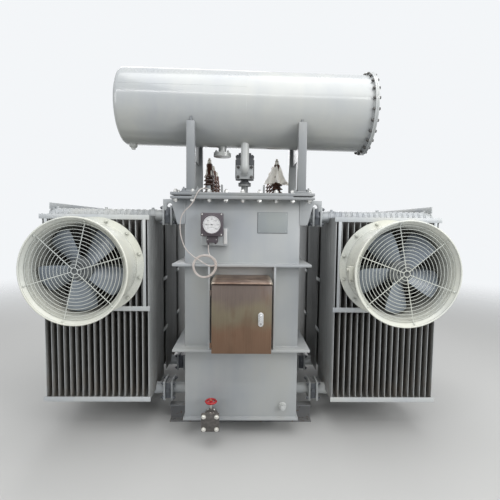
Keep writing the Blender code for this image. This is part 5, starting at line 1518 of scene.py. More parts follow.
BRONZE_MIDDLE = (0.185, 0.158, 0.11)
BRONZE_HIGH = (0.138, 0.11, 0.098)
CORNER_HIGHLIGHT_SPAN = (0.168, 0.2)

door_low, door_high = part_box("cabinet_door")
roof_low, roof_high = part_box("cabinet_roof")
body_low, body_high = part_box("cabinet_body")
low_z, high_z = body_low.z, body_high.z
joint_places = {joint["name"]: joint["pos_m"] for joint in frame["joints"]}
hinge_x, hinge_y = joint_places["cabinet_door_hinge"][:2]
hinge_levels = (low_z + HINGE_INSET, high_z - HINGE_INSET)


def brushed_bronze(name, polish=0.0):
    """Stainless sheet brushed upright, brown below and olive above, smeared, with a soft wavy shine."""
    material, shader, here = new_finish(name, metallic=0.85)
    brush = grain(here, 420, 2, (1, 1, 0.012))
    wave = grain(here, 5.5, 3, (1, 1, 0.7))
    smear = grain(here, 11, 5, (1, 1, 0.45))
    level = height(here, door_low.z, door_high.z) + (wave - 0.5) * 0.7
    tone = level.between(0.22, 0.58).mix(BRONZE_LOW, BRONZE_MIDDLE)
    tone = level.between(0.62, 0.95).mix(tone, BRONZE_HIGH)
    tone = (smear.between(0.5, 0.72) * (0.45 - 0.2 * polish)).mix(tone, shade(BRONZE_LOW, 0.66))
    tone = (brush.between(0.42, 0.62) * 0.07).mix(tone, (0.46, 0.38, 0.28))
    if polish:
        scratch = grain(here, 34, 5, (0.25, 1, 1))
        worn = (smear * 0.5 + scratch * 0.5).between(0.4, 0.6)
        tone = worn.mix((0.225, 0.15, 0.118), (0.455, 0.345, 0.275))
        across = here.math("ABSOLUTE", here.node("SeparateXYZ", {0: here}, output="X"))
        # Painted highlight: the roof is lightened towards its rounded front corners, where they catch the light.
        tone = (across.between(*CORNER_HIGHLIGHT_SPAN) * 0.75).mix(tone, (0.74, 0.65, 0.54))
    feed(shader, Base_Color=tone, Roughness=0.36 - 0.14 * polish + brush * 0.1 + smear * 0.12)
    emboss(shader, brush * 0.25 + wave * 3.0, 0.22, 0.001)
    return material


bronze = brushed_bronze("brushed_bronze")
bronze_polished = brushed_bronze("polished_bronze", polish=1.0)
form = bmesh.new()
for side in (-1, 1):
    side_box(form, side, (CABINET_SIDE - CABINET_SHEET, CABINET_FRONT, low_z),
             (CABINET_SIDE, CABINET_BACK, high_z), SHEET_EDGE)
    side_box(form, side, (CABINET_SIDE - CABINET_LIP, CABINET_FRONT, low_z),
             (CABINET_SIDE, CABINET_FRONT + LIP_SHEET, high_z), 0)
end = CABINET_SIDE - OVERLAP
for z0, z1 in ((low_z, low_z + CABINET_SHEET), (high_z - CABINET_SHEET, high_z)):
    box(form, (-end, CABINET_FRONT, z0), (end, CABINET_BACK, z1), SHEET_EDGE)
for z0, z1 in ((low_z, low_z + CABINET_LIP), (high_z - CABINET_LIP, high_z)):
    box(form, (-end, CABINET_FRONT, z0), (end, CABINET_FRONT + LIP_SHEET, z1), 0)
box(form, (-end, CABINET_BACK - CABINET_SHEET, low_z + OVERLAP), (end, CABINET_BACK, high_z - OVERLAP), 0)
for z in (low_z + HANGER_HEIGHT, high_z - 2 * HANGER_HEIGHT):
    box(form, (-CABINET_SIDE, CABINET_BACK - OVERLAP, z),
        (CABINET_SIDE, FRONT - SEAT_GAP, z + HANGER_HEIGHT))
for level in hinge_levels:
    half = HINGE_LENGTH / 2
    knuckle_profile = [(0, 0), (HINGE_RADIUS - HINGE_ROUND, 0), (HINGE_RADIUS, HINGE_ROUND),
                       (HINGE_RADIUS, half - HINGE_PLAY)]
    lathe(form, knuckle_profile, shift(hinge_x, hinge_y, level - half), 20)
    leaf_foot, leaf_top = level - half + 0.001, level - 0.0015
    leaf_back = CABINET_FRONT + HINGE_LEAF_DEPTH
    box(form, (hinge_x - HINGE_LEAF_HALF, hinge_y, leaf_foot),
        (hinge_x + HINGE_LEAF_HALF, leaf_back, leaf_top), 0.0004)
    box(form, (hinge_x, CABINET_FRONT + 0.004, leaf_foot), (-end, leaf_back, leaf_top), 0.0004)
piece("cabinet_box", form, bronze, node="cabinet_body")

form = bmesh.new()
box(form, (-BOARD_SIDE, BOARD_FRONT, low_z + BOARD_INSET),
    (BOARD_SIDE, BOARD_FRONT + LIP_SHEET, high_z - BOARD_INSET), 0)
for z in [low_z + level for level in RAIL_LEVELS]:
    box(form, (-RAIL_SIDE, RAIL_FRONT, z), (RAIL_SIDE, BOARD_FRONT, z + RAIL_HEIGHT), 0.0006)
bolt_x, bolt_inset = BOARD_BOLTS
for x in (-bolt_x, bolt_x):
    for z in (low_z + bolt_inset, high_z - bolt_inset):
        bolt(form, front_seat(x, BOARD_FRONT, z), 0.013, THREAD_BELOW)
piece("mounting_plate", form, zinc)


# The fan controls on the mounting plate: breakers, contactors and a row of terminals clipped on rails, in
# plain grey and black plastic.
CONTROL_LEFT = -0.15
TERMINALS = 24
TERMINAL_PITCH = 0.0125
TERMINAL_MIDDLE = 0.0057
TERMINAL_DEPTH = 0.04
# Rows of controls: how many, how far apart, and the blocks of one: its plastic, its spans to the right, back
# towards the rail and up from the cabinet's floor, and its edge.
CONTROL_ROWS = (
    (4, 0.04, (("grey", (0, 0.036), (0.07, 0), (0.335, 0.42), 0.002),
               ("black", (0.012, 0.024), (0.08, 0.069), (0.37, 0.386), 0.002))),
    (3, 0.064, (("black", (0, 0.058), (0.082, 0), (0.21, 0.295), 0.003),
                ("grey", (0.012, 0.046), (0.086, 0.081), (0.235, 0.27), 0.001))),
    (TERMINALS, TERMINAL_PITCH, (("grey", (0, 0.0115), (TERMINAL_DEPTH, 0), (0.1, 0.152), 0.0008),)),
)
TERMINAL_SCREW_PROFILE = ((0.0032, 0), (0.0032, 0.001))
TERMINAL_SCREWS = (0.112, 0.14)

switch_grey = enamel("switch_grey", (0.42, 0.42, 0.4), 0.42, 0.2)
switch_black = enamel("switch_black", (0.03, 0.03, 0.032), 0.45, 0.3)
plastics = {"grey": bmesh.new(), "black": bmesh.new()}
for count, pitch, blocks in CONTROL_ROWS:
    for k in range(count):
        left = CONTROL_LEFT + k * pitch
        for plastic, (x0, x1), (y0, y1), (z0, z1), edge in blocks:
            box(plastics[plastic], (left + x0, RAIL_FRONT - y0, low_z + z0),
                (left + x1, RAIL_FRONT - y1, low_z + z1), edge)
for k in range(TERMINALS):
    x = CONTROL_LEFT + k * TERMINAL_PITCH + TERMINAL_MIDDLE
    for level in TERMINAL_SCREWS:
        seat = front_seat(x, RAIL_FRONT - TERMINAL_DEPTH, low_z + level)
        lathe(plastics["black"], TERMINAL_SCREW_PROFILE, seat, 10)
piece("switch_cases", plastics["grey"], switch_grey)
piece("switch_fronts", plastics["black"], switch_black)


# The cabinet's roof: one polished sheet folded to slope forward over the door, its front corners rounded off
# and its ends welded shut.
ROOF_CORNER = 0.02
ROOF_COLUMNS = 40
ROOF_BACK_HEIGHT = 0.029
ROOF_NOSE_HEIGHT = 0.017
# How much of a corner's droop reaches the nose, the back's top and the nose's top.
DROOP_SHARES = (0.9, 0.55, 0.35)

form = bmesh.new()
seat, back = roof_low.z, roof_high.y
width = 2 * roof_high.x
rings = []
for k in range(ROOF_COLUMNS + 1):
    from_end = min(k, ROOF_COLUMNS - k) * width / ROOF_COLUMNS
    turned_in = max(0.0, 1 - from_end / ROOF_CORNER)
    droop = ROOF_CORNER * (1 - (1 - turned_in ** 2) ** 0.5)
    to_nose, to_back_top, to_nose_top = [droop * share for share in DROOP_SHARES]
    nose = roof_low.y + to_nose
    back_top = seat + ROOF_BACK_HEIGHT - to_back_top
    nose_top = seat + ROOF_NOSE_HEIGHT - to_nose_top
    points = [(back, seat), (back, back_top), ((back + nose) / 2, (back_top + nose_top) / 2 + 0.0005),
              (nose + 0.006, nose_top + 0.0006), (nose + 0.0015, nose_top - 0.002),
              (nose, nose_top - 0.006), (nose, seat + 0.0052), (door_low.y - OVERLAP, seat)]
    rings.append([(width * k / ROOF_COLUMNS - roof_high.x, y, z) for y, z in points])
skin(form, rings)
piece("cabinet_cap", form, bronze_polished, node="cabinet_roof", sharp=28)


# The cabinet's door: a shallow folded tray of the same brushed sheet on two barrel hinges, with a rubber seal
# inside and an oval nickel-plated swing lock.
DOOR_BACK = CABINET_FRONT - 0.006
DOOR_FRONT = DOOR_BACK - 0.018
DOOR_SHEET = 0.0025
DOOR_FIT = 0.0005
STIFFENER_INSET = 0.06
STIFFENER_HEIGHT = 0.025
SEAL_INSET = 0.009
SEAL_HALF = 0.004
LOCK_X = 0.129
LOCK_Z = 0.981
LOCK_WIDTH = 0.036
LOCK_HEIGHT = 0.096
LOCK_HALF = 0.01
LATCH_REACH = 0.056
LATCH_LOW = -0.03
HANDLE_RISE = 0.0245
HANDLE_WIDTH = 0.022
HANDLE_LENGTH = 0.071
OVAL_STEPS = 40

form = bmesh.new()
z0, z1 = door_low.z, door_high.z
side = CABINET_SIDE
box(form, (-side, DOOR_FRONT, z0), (side, DOOR_FRONT + DOOR_SHEET, z1), SHEET_EDGE)
for x in (-side, side - DOOR_SHEET):
    box(form, (x, DOOR_FRONT + DOOR_FIT, z0), (x + DOOR_SHEET, DOOR_BACK, z1), 0.0008)
for z in (z0, z1 - DOOR_SHEET):
    box(form, (-side, DOOR_FRONT + DOOR_FIT, z), (side, DOOR_BACK, z + DOOR_SHEET), 0.0008)
end, foot = side - STIFFENER_INSET, z0 + STIFFENER_INSET
box(form, (-end, DOOR_FRONT + 0.002, foot), (end, DOOR_FRONT + 0.01, foot + STIFFENER_HEIGHT), 0.001)
for level in hinge_levels:
    half = HINGE_LENGTH / 2
    knuckle_profile = [(HINGE_RADIUS, 0), (HINGE_RADIUS, half - HINGE_ROUND),
                       (HINGE_RADIUS - HINGE_ROUND, half), (0, half)]
    lathe(form, knuckle_profile, shift(hinge_x, hinge_y, level), 20)
    box(form, (hinge_x, hinge_y - HINGE_LEAF_HALF, level),
        (hinge_x + 0.015, hinge_y + HINGE_LEAF_HALF, level + half), 0.0004)
piece("door_tray", form, bronze, body="cabinet_door", node="cabinet_door")

form = bmesh.new()
x, foot, top = side - SEAL_INSET, z0 + SEAL_INSET, z1 - SEAL_INSET
ring = [(-x, foot), (x, foot), (x, top), (-x, top)]
for (xa, za), (xb, zb) in zip(ring, ring[1:] + ring[:1]):
    box(form, (min(xa, xb) - SEAL_HALF, DOOR_FRONT + DOOR_SHEET, min(za, zb) - SEAL_HALF),
        (max(xa, xb) + SEAL_HALF, DOOR_BACK + OVERLAP, max(za, zb) + SEAL_HALF), 0.001)
piece("door_seal", form, black_rubber, body="cabinet_door")


def stadium(form, middle_x, middle_z, width, tall, back, front, edge):
    """An upright plate with round ends, its front edge eased."""
    rings = []
    for y, inset in ((back, 0.0), (front + edge, 0.0), (front, edge)):
        radius = width / 2 - inset
        ring = []
        for k in range(OVAL_STEPS):
            turn = tau * (k + 0.5) / OVAL_STEPS
            centre = middle_z + (tall - width) / 2 * (1 if sin(turn) > 0 else -1)
            ring.append((middle_x + radius * cos(turn), y, centre + radius * sin(turn)))
        rings.append(ring)
    skin(form, rings)


nickel = steel("nickel", (0.74, 0.75, 0.75), 0.2, 0.25)
form = bmesh.new()
stadium(form, LOCK_X, LOCK_Z, LOCK_WIDTH, LOCK_HEIGHT, DOOR_FRONT - 0.0001, DOOR_FRONT - 0.005, 0.0016)
left, foot = LOCK_X - LOCK_HALF, LOCK_Z + LATCH_LOW
box(form, (left, DOOR_FRONT + 0.002, foot), (LOCK_X + LOCK_HALF, DOOR_BACK + 0.016, foot + 0.02), 0.001)
box(form, (left, DOOR_BACK + 0.014, foot), (LOCK_X + LATCH_REACH, DOOR_BACK + 0.0165, foot + 0.018), 0.0006)
piece("lock_plate", form, nickel, body="cabinet_door")

x, y, z = joint_places["cabinet_handle_turn"]
form = bmesh.new()
lathe(form, [(0.009, 0), (0.009, 0.008)], front_seat(x, y, z), 28)
stadium(form, x, z + HANDLE_RISE, HANDLE_WIDTH, HANDLE_LENGTH, y - 0.006, y - 0.015, 0.0022)
piece("swing_handle", form, nickel, body="cabinet_handle", node="cabinet_handle")
form = bmesh.new()
lathe(form, [(0.0042, 0), (0.0042, 0.0004)], front_seat(x, y - 0.0149, z), 24)
box(form, (x - 0.0012, y - 0.0153, z - 0.008), (x + 0.0012, y - 0.0148, z), 0)
piece("keyhole", form, switch_black, body="cabinet_handle")


# The oil thermometer: a dark grey moulded case screwed to a folded bracket, a white dial behind glass with a
# pointer and plain figures, and a small terminal box with a cable gland below it.
CASE_X = -0.214
CASE_BACK = FRONT - 0.0503
CASE_FRONT = CASE_BACK - 0.078
CASE_LOW = 1.532
CASE_HIGH = 1.696
CASE_HALF = 0.078
CASE_SCREWS = (0.067, 0.011)
CASE_SCREW_PROFILE = ((0.0052, -0.001), (0.0052, 0.0016), (0.004, 0.0026), (0, 0.003))
BRACKET_SHEET = 0.004
BRACKET_WELD = 0.003
BRACKET_WELD_ENDS = (0.006, 0.03)
DIAL_Z = (CASE_LOW + CASE_HIGH) / 2
DIAL_RADIUS = 0.06
BEZEL_RADIUS = 0.072
BEZEL_DEPTH = 0.006
JUNCTION = (-0.253, -0.175, 1.486)
JUNCTION_DEPTH = 0.052
JUNCTION_SCREWS = (0.03, 0.022)
JUNCTION_SCREW_PROFILE = ((0, 0), (0.0034, 0), (0.003, 0.0016), (0, 0.002))
GLAND = (-0.241, FRONT - 0.084)
GLAND_PROFILE = ((0, 0), (0.0075, 0), (0.008, 0.001), (0.008, 0.006), (0.0066, 0.0065), (0.0066, 0.016))
BLIND_PLUG_ASIDE = 0.024
BLIND_PLUG_PROFILE = ((0.008, 0), (0.008, 0.008), (0.0055, 0.011), (0, 0.011))
STRIP = (-0.134, -0.11, 1.476, 1.586)
STRIP_FACE = FRONT - 0.0562
STRIP_THICK = 0.0017
STRIP_SCREW_INSET = 0.008
STRIP_SCREW_PROFILE = ((0, 0), (0.003, 0), (0.0026, 0.0012), (0, 0.0015))
BRACKET_GREY = (0.42, 0.44, 0.44)
CASE_BLACK = (0.072, 0.058, 0.066)
STRIP_WHITE = (0.66, 0.65, 0.62)

low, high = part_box("thermometer_bracket")
form = bmesh.new()
box(form, low, (high.x, low.y + BRACKET_SHEET, high.z), 0.001)
for x in (low.x, high.x - BRACKET_SHEET):
    box(form, (x, low.y + OVERLAP, low.z), (x + BRACKET_SHEET, high.y, high.z), 0.001)
near, far = BRACKET_WELD_ENDS
for x in (low.x, high.x):
    for z0, z1 in ((low.z + near, low.z + far), (high.z - far, high.z - near)):
        weld(form, (x, high.y - BEAD_OUT, z0), (x, high.y - BEAD_OUT, z1), BRACKET_WELD)
bracket_enamel = enamel("bracket_enamel", BRACKET_GREY, 0.3, 0.6)
piece("bracket_sheet", form, bracket_enamel, node="thermometer_bracket")

case_plastic = enamel("case_plastic", CASE_BLACK, gloss=0.46, grime=0.35)
form = bmesh.new()
box(form, (CASE_X - CASE_HALF, CASE_FRONT, CASE_LOW), (CASE_X + CASE_HALF, CASE_BACK, CASE_HIGH), 0.007)
bezel = front_seat(CASE_X, CASE_FRONT, DIAL_Z)
bezel_profile = [(DIAL_RADIUS, 0.001), (BEZEL_RADIUS - 0.001, -0.0005), (BEZEL_RADIUS, 0.001),
                 (BEZEL_RADIUS - 0.0012, 0.0048), (BEZEL_RADIUS - 0.004, BEZEL_DEPTH),
                 (DIAL_RADIUS + 0.003, BEZEL_DEPTH), (DIAL_RADIUS + 0.0005, 0.004)]
lathe(form, bezel_profile, bezel, 64, closed=True)
left, right, junction_low = JUNCTION
junction_face = CASE_BACK - JUNCTION_DEPTH
box(form, (left, junction_face, junction_low), (right, CASE_BACK, CASE_LOW + 0.002), 0.004)
gland_x, gland_y = GLAND
gland_seat = aim((gland_x, gland_y, junction_low + 0.0005), (0, 0, -1))
plug_seat = aim((CASE_X + BLIND_PLUG_ASIDE, gland_y, junction_low + 0.0005), (0, 0, -1))
lathe(form, GLAND_PROFILE, gland_seat, 6)
lathe(form, BLIND_PLUG_PROFILE, plug_seat, 20)
piece("thermometer_case", form, case_plastic, node="oil_thermometer")

form = bmesh.new()
aside, inset = CASE_SCREWS
for x in (CASE_X - aside, CASE_X + aside):
    for z in (CASE_LOW + inset, CASE_HIGH - inset):
        lathe(form, CASE_SCREW_PROFILE, front_seat(x, CASE_FRONT, z), 20)
aside, rise = JUNCTION_SCREWS
for x in (CASE_X - aside, CASE_X + aside):
    lathe(form, JUNCTION_SCREW_PROFILE, front_seat(x, junction_face, junction_low + rise), 16)
piece("case_screws", form, zinc)

form = bmesh.new()
lathe(form, [(DIAL_RADIUS + 0.001, 0), (DIAL_RADIUS + 0.001, 0.0014)], bezel, 64)
dial_white = printed_dial("dial_white", (0.64, 0.63, 0.65), (0.56, 0.55, 0.55))
piece("dial_sheet", form, dial_white)


# What is drawn on the dial: an arc with marks, the figures, a short dash below and the needle.
FIRST_MARK = 225
SWEEP = 270
MARKS = 60
MARK_END = DIAL_RADIUS - 0.006
TALLEST_MARK = 0.0075
THICK_LINE = 0.0006
THIN_LINE = 0.0004
FIGURES = ("0", "20", "40", "60", "80", "100", "120")
FIGURE_CIRCLE = 0.0385
FIGURE_TALL = 0.0088
FIGURE_PITCH = FIGURE_TALL * 0.82
FIGURE_LINE = 0.00062
INK_LIFT = 0.0017
NEEDLE_LIFT = 0.0028
NEEDLE_TURN = 180
NEEDLE_REACH = (-0.014, 0.0, 0.03, 0.044)
# The seven strokes of a plain figure, from end to end in half widths and half heights, and who takes which.
STROKE_ENDS = {"a": (-1, 1, 1, 1), "b": (1, 1, 1, 0), "c": (1, 0, 1, -1), "d": (-1, -1, 1, -1),
               "e": (-1, 0, -1, -1), "f": (-1, 1, -1, 0), "g": (-1, 0, 1, 0)}
STROKES = {"0": "abcdef", "2": "abged", "4": "fgbc", "6": "afgedc", "8": "abcdefg", "1": "bc"}


def dial_point(radius, turn, aside=0.0, up=0.0, lift=INK_LIFT):
    """A point on the dial, at a radius and turn, or moved aside and up from there."""
    return CASE_X + radius * cos(turn) + aside, CASE_FRONT - lift, DIAL_Z + radius * sin(turn) + up


form = bmesh.new()
for k in range(MARKS + 1):
    turn = radians(FIRST_MARK - SWEEP * k / MARKS)
    tall = TALLEST_MARK if k % 10 == 0 else TALLEST_MARK * (0.75 if k % 5 == 0 else 0.5)
    ends = [dial_point(radius, turn) for radius in (MARK_END - tall, MARK_END)]
    tube(form, ends, THIN_LINE if k % 10 else THICK_LINE, 4)
arc = [dial_point(MARK_END, radians(FIRST_MARK - SWEEP * k / 70)) for k in range(71)]
tube(form, arc, THIN_LINE, 4)
half_wide, half_tall = FIGURE_TALL * 0.3, FIGURE_TALL / 2
for k, figures in enumerate(FIGURES):
    turn = radians(FIRST_MARK - SWEEP * k / (len(FIGURES) - 1))
    for place, figure in enumerate(figures):
        aside = (place - (len(figures) - 1) / 2) * FIGURE_PITCH
        for stroke in STROKES[figure]:
            x0, y0, x1, y1 = STROKE_ENDS[stroke]
            ends = [dial_point(FIGURE_CIRCLE, turn, aside + x * half_wide, y * half_tall)
                    for x, y in ((x0, y0), (x1, y1))]
            tube(form, ends, FIGURE_LINE, 5)
tube(form, [dial_point(0, 0, x, -0.02) for x in (-0.016, 0.016)], 0.0008, 5)
needle = [dial_point(radius, radians(NEEDLE_TURN), lift=NEEDLE_LIFT) for radius in NEEDLE_REACH]
tube(form, needle, 0.001, 6)
lathe(form, [(0.005, 0.0014), (0.005, 0.0034), (0.004, 0.004), (0, 0.004)], bezel, 24)
piece("dial_marks", form, switch_black)


def clear_glass(name):
    """Flat dial glass, clear and a little dusty."""
    material, shader, here = new_finish(name)
    dust = grain(here, 80, 4).between(0.45, 0.75)
    shader.inputs["Base Color"].default_value = (0.9, 0.92, 0.92, 1)
    feed(shader, Roughness=0.03 + dust * 0.2, Alpha=0.1 + dust * 0.07)
    return material


form = bmesh.new()
glass = DIAL_RADIUS + 0.0025
lathe(form, [(glass, 0), (glass, 0.0008)], bezel @ shift(0, 0, 0.0046), 64)
piece("dial_glass", form, clear_glass("dial_glass"))
form = bmesh.new()
left, right, foot, top = STRIP
box(form, (left, STRIP_FACE, foot), (right, STRIP_FACE + STRIP_THICK, top), 0.0006)
for z in (foot + STRIP_SCREW_INSET, top - STRIP_SCREW_INSET):
    lathe(form, STRIP_SCREW_PROFILE, front_seat((left + right) / 2, STRIP_FACE, z), 14)
piece("bracket_strip", form, enamel("strip_white", STRIP_WHITE, 0.4, 0.4))


# The capillary: a thin copper tube in a pale woven sleeve. From the thermometer's gland it is wound by hand
# into a flat coil of four turns, crosses the coil and climbs over the rim to its pocket in the cover.
CAPILLARY_SIZE = 0.0064
COIL_X = -0.267
COIL_Z = 1.318
COIL_TURNS = 4
COIL_OUTER = 0.0856
COIL_STEP = 0.0067
COIL_BACK = -0.0836
COIL_FRONT = -0.0904
STEPS_A_TURN = 32
JOIN_TURN = 38
LEAVE_TURN = 22
# Its hand-bent stretches, as distances from the front wall's middle: from the gland down to the coil, across
# the coil's front, and from the coil up to the pocket.
WAY_DOWN = (
    (-0.241, -0.084, 1.4697), (-0.2408, -0.084, 1.452), (-0.2399, -0.0839, 1.434), (-0.2378, -0.0837, 1.416),
    (-0.2325, -0.0836, 1.401), (-0.2225, -0.0836, 1.388), (-0.2125, -0.0836, 1.379),
)
WAY_ACROSS = (
    (-0.1905, -0.0925, 1.337), (-0.1965, -0.0955, 1.327), (-0.207, -0.0975, 1.3215), (-0.22, -0.0978, 1.32),
    (-0.235, -0.0978, 1.3225), (-0.252, -0.0978, 1.33), (-0.27, -0.0978, 1.3402), (-0.29, -0.0978, 1.353),
    (-0.311, -0.0976, 1.3665),
)
WAY_UP = (
    (-0.3346, -0.097, 1.3796), (-0.3585, -0.093, 1.398), (-0.386, -0.088, 1.422), (-0.4085, -0.084, 1.453),
    (-0.426, -0.0796, 1.496), (-0.4388, -0.0784, 1.549), (-0.4418, -0.0788, 1.61), (-0.4322, -0.0806, 1.6665),
    (-0.4065, -0.0838, 1.7095), (-0.3712, -0.0885, 1.7425), (-0.3445, -0.093, 1.778), (-0.336, -0.095, 1.797),
    (-0.3282, -0.0965, 1.815), (-0.3205, -0.097, 1.831), (-0.313, -0.0955, 1.843), (-0.306, -0.0895, 1.853),
    (-0.299, -0.077, 1.8615), (-0.291, -0.059, 1.868), (-0.283, -0.0375, 1.8725), (-0.275, -0.014, 1.8755),
    (-0.2675, 0.008, 1.8768), (-0.261, 0.026, 1.877), (-0.2567, 0.041, 1.877), (-0.255, 0.0541, 1.877),
)


def woven_sleeve(name):
    """Pale sleeve woven over the tube, a little pink and grubby."""
    material, shader, here = new_finish(name)
    weave = here.node("TexWave", {"Vector": here, "Scale": 160, "Distortion": 3.0, "Detail": 2.0})
    stain = grain(here, 16, 4)
    feed(shader, Base_Color=stain.between(0.3, 0.7).mix((0.47, 0.41, 0.38), (0.62, 0.58, 0.55)),
         Roughness=0.55 + weave * 0.15)
    emboss(shader, weave, 0.35, 0.0006)
    return material


def coil_place(turns):
    """A point of the coil: the back layer winds inwards and the front one outwards again."""
    angle = radians(JOIN_TURN) - tau * turns
    bent = 0.002 * sin(2 * angle + 0.6) + 0.0012 * sin(3 * angle)
    radius = COIL_OUTER - COIL_STEP * (COIL_TURNS / 2 - abs(turns - COIL_TURNS / 2)) + bent
    share = min(max((turns - COIL_TURNS / 2) * 2 + 0.5, 0), 1)
    forward = COIL_BACK + (COIL_FRONT - COIL_BACK) * share * share * (3 - 2 * share)
    return COIL_X + radius * cos(angle), forward, COIL_Z + radius * sin(angle)


all_turns = COIL_TURNS + (JOIN_TURN - LEAVE_TURN) / 360
steps = int(all_turns * STEPS_A_TURN)
coil = [coil_place(all_turns * k / steps) for k in range(steps + 1)]
route = [Vector((x, FRONT + y, z)) for x, y, z in [*WAY_DOWN, *coil, *WAY_ACROSS, *WAY_UP]]
line = bpy.data.curves.new("capillary", "CURVE")
line.dimensions = "3D"
line.bevel_depth = CAPILLARY_SIZE / 2
line.bevel_resolution = 3
line.use_fill_caps = True
spline = line.splines.new("BEZIER")
spline.bezier_points.add(len(route) - 1)
spline.resolution_u = 4
neighbours = zip(spline.bezier_points, route[:1] + route, route, route[1:] + route[-1:])
for knot, before, place, after in neighbours:
    knot.co = place
    ahead = (after - before).normalized()
    knot.handle_left = place - ahead * (place - before).length / 3
    knot.handle_right = place + ahead * (after - place).length / 3
line.materials.append(woven_sleeve("woven_sleeve"))
capillary = bpy.data.objects.new("capillary", line)
bpy.context.scene.collection.objects.link(capillary)
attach(capillary, "transformer")
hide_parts("capillary_coil", "capillary_down", "capillary_up")


# The name plate: a blank aluminium plate, primed in the tank's grey and riveted on at its four corners over a dark
# sheet that shows along its edges as a painted shadow, wider at the bottom and left.
SIGN_BACK = 0.0014
SIGN_SHADOW_BACK = 0.0013
SIGN_SHADOW_LOW = 0.003
SIGN_SHADOW_HIGH = 0.0012
RIVET_INSET = 0.012
RIVET_PROFILE = ((0, 0), (0.0042, 0), (0.0036, 0.0014), (0, 0.0021))
SIGN_GREY = (0.29, 0.315, 0.32)
SIGN_SHADOW_GREY = (0.075, 0.082, 0.09)

low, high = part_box("name_plate")
form = bmesh.new()
box(form, low, (high.x, high.y - SIGN_BACK, high.z), 0.0006)
sign_enamel = enamel("sign_enamel", SIGN_GREY, 0.28, 0.3)
piece("sign", form, sign_enamel, node="name_plate")
form = bmesh.new()
# Painted shadow: a dark sheet behind the plate, reaching out further at the bottom and left than at the top and
# right.
box(form, (low.x - SIGN_SHADOW_LOW, high.y - SIGN_SHADOW_BACK, low.z - SIGN_SHADOW_LOW),
    (high.x + SIGN_SHADOW_HIGH, high.y, high.z + SIGN_SHADOW_HIGH), 0.0004)
piece("sign_packing", form, enamel("sign_packing", SIGN_SHADOW_GREY, 0.5, 0.4))
form = bmesh.new()
for x in (low.x + RIVET_INSET, high.x - RIVET_INSET):
    for z in (low.z + RIVET_INSET, high.z - RIVET_INSET):
        lathe(form, RIVET_PROFILE, front_seat(x, low.y, z), 20)
piece("sign_rivets", form, tank_enamel)


# The drain valve low on the front wall: a dark cast gate valve on a short flanged pipe, closed with a blank
# flange held by four zinc-plated bolts, and turned by a red cast handwheel on a brass stem nut.
DRAIN_X = -0.217
DRAIN_Z = 0.204
PIPE_END = FRONT - 0.058
BODY_END = FRONT - 0.138
BLANK_END = FRONT - 0.166
BODY_HALF = 0.048
BODY_NARROW = 0.038
BODY_EDGE = 0.009
BLANK_HALF = 0.065
DRAIN_FLANGE = 0.0135
DRAIN_JOINT = 0.0008
DRAIN_PIPE_PROFILE = ((0.03, 0), (0.03, 0.034), (0.046, 0.0345), (0.047, 0.036), (0.047, 0.058))
DRAIN_WASHER_PROFILE = ((0.0165, 0), (0.0165, 0.0025))
DRAIN_NUT_PROFILE = ((0.0125, 0.0025), (0.0125, 0.011), (0.0105, 0.013), (0.0055, 0.013), (0.005, 0.0185),
                     (0, 0.019))
BLANK_BOLT_AWAY = 0.046
BONNET_BOLTS = (0.02, 0.03)
STEM_Y = (PIPE_END + BODY_END) / 2
STEM_FOOT = 0.279
STEM_TOP = 0.321
CASTING_BLACK = (0.06, 0.055, 0.051)


def casting(name, colour, rough=0.55):
    """Sand-cast iron under thin paint: grainy, uneven and dusty on top."""
    material, shader, here = new_finish(name)
    coarse = grain(here, 55, 4)
    fine = grain(here, 260, 2)
    dust = facing_up(here) * grain(here, 30, 3).between(0.35, 0.7) * 0.5
    tone = coarse.between(0.35, 0.7).mix(colour, tuple(c * 1.5 + 0.01 for c in colour))
    feed(shader, Base_Color=dust.mix(tone, (0.3, 0.28, 0.25)), Roughness=rough + coarse * 0.12 + dust * 0.3)
    emboss(shader, coarse + fine * 0.5, 0.45, 0.0012)
    return material


dark_casting = casting("dark_casting", CASTING_BLACK)
form = bmesh.new()
pipe = front_seat(DRAIN_X, FRONT - SEAT_GAP, DRAIN_Z)
lathe(form, DRAIN_PIPE_PROFILE, pipe, 40)
ring_weld(form, pipe @ shift(0, 0, 0.002), 0.0305, LIGHT_WELD, 32)
flange_back = BODY_END - DRAIN_FLANGE
y0, y1 = BODY_END - OVERLAP, PIPE_END + OVERLAP
# Half width, half height, front, back and edge of the valve's body twice, its flange and its blank.
blocks = ((BODY_NARROW, BODY_HALF, y0, y1, BODY_EDGE), (BODY_HALF, BODY_NARROW, y0, y1, BODY_EDGE),
          (BLANK_HALF - 0.001, BLANK_HALF - 0.001, flange_back, BODY_END, 0.004),
          (BLANK_HALF, BLANK_HALF, BLANK_END, flange_back - DRAIN_JOINT, 0.004))
for wide, tall, y0, y1, edge in blocks:
    box(form, (DRAIN_X - wide, y0, DRAIN_Z - tall), (DRAIN_X + wide, y1, DRAIN_Z + tall), edge)
top = DRAIN_Z + BODY_HALF
bonnet_profile = [(0, top - 0.002), (0.0275, top - 0.002), (0.028, top + 0.004), (0.026, top + 0.008),
                  (0.018, top + 0.01), (0.016, top + 0.026), (0.012, 0.28), (0, 0.28)]
stem = shift(DRAIN_X, STEM_Y, 0)
lathe(form, bonnet_profile, stem, 32)
piece("drain_body", form, dark_casting, node="drain_valve", sharp=40)

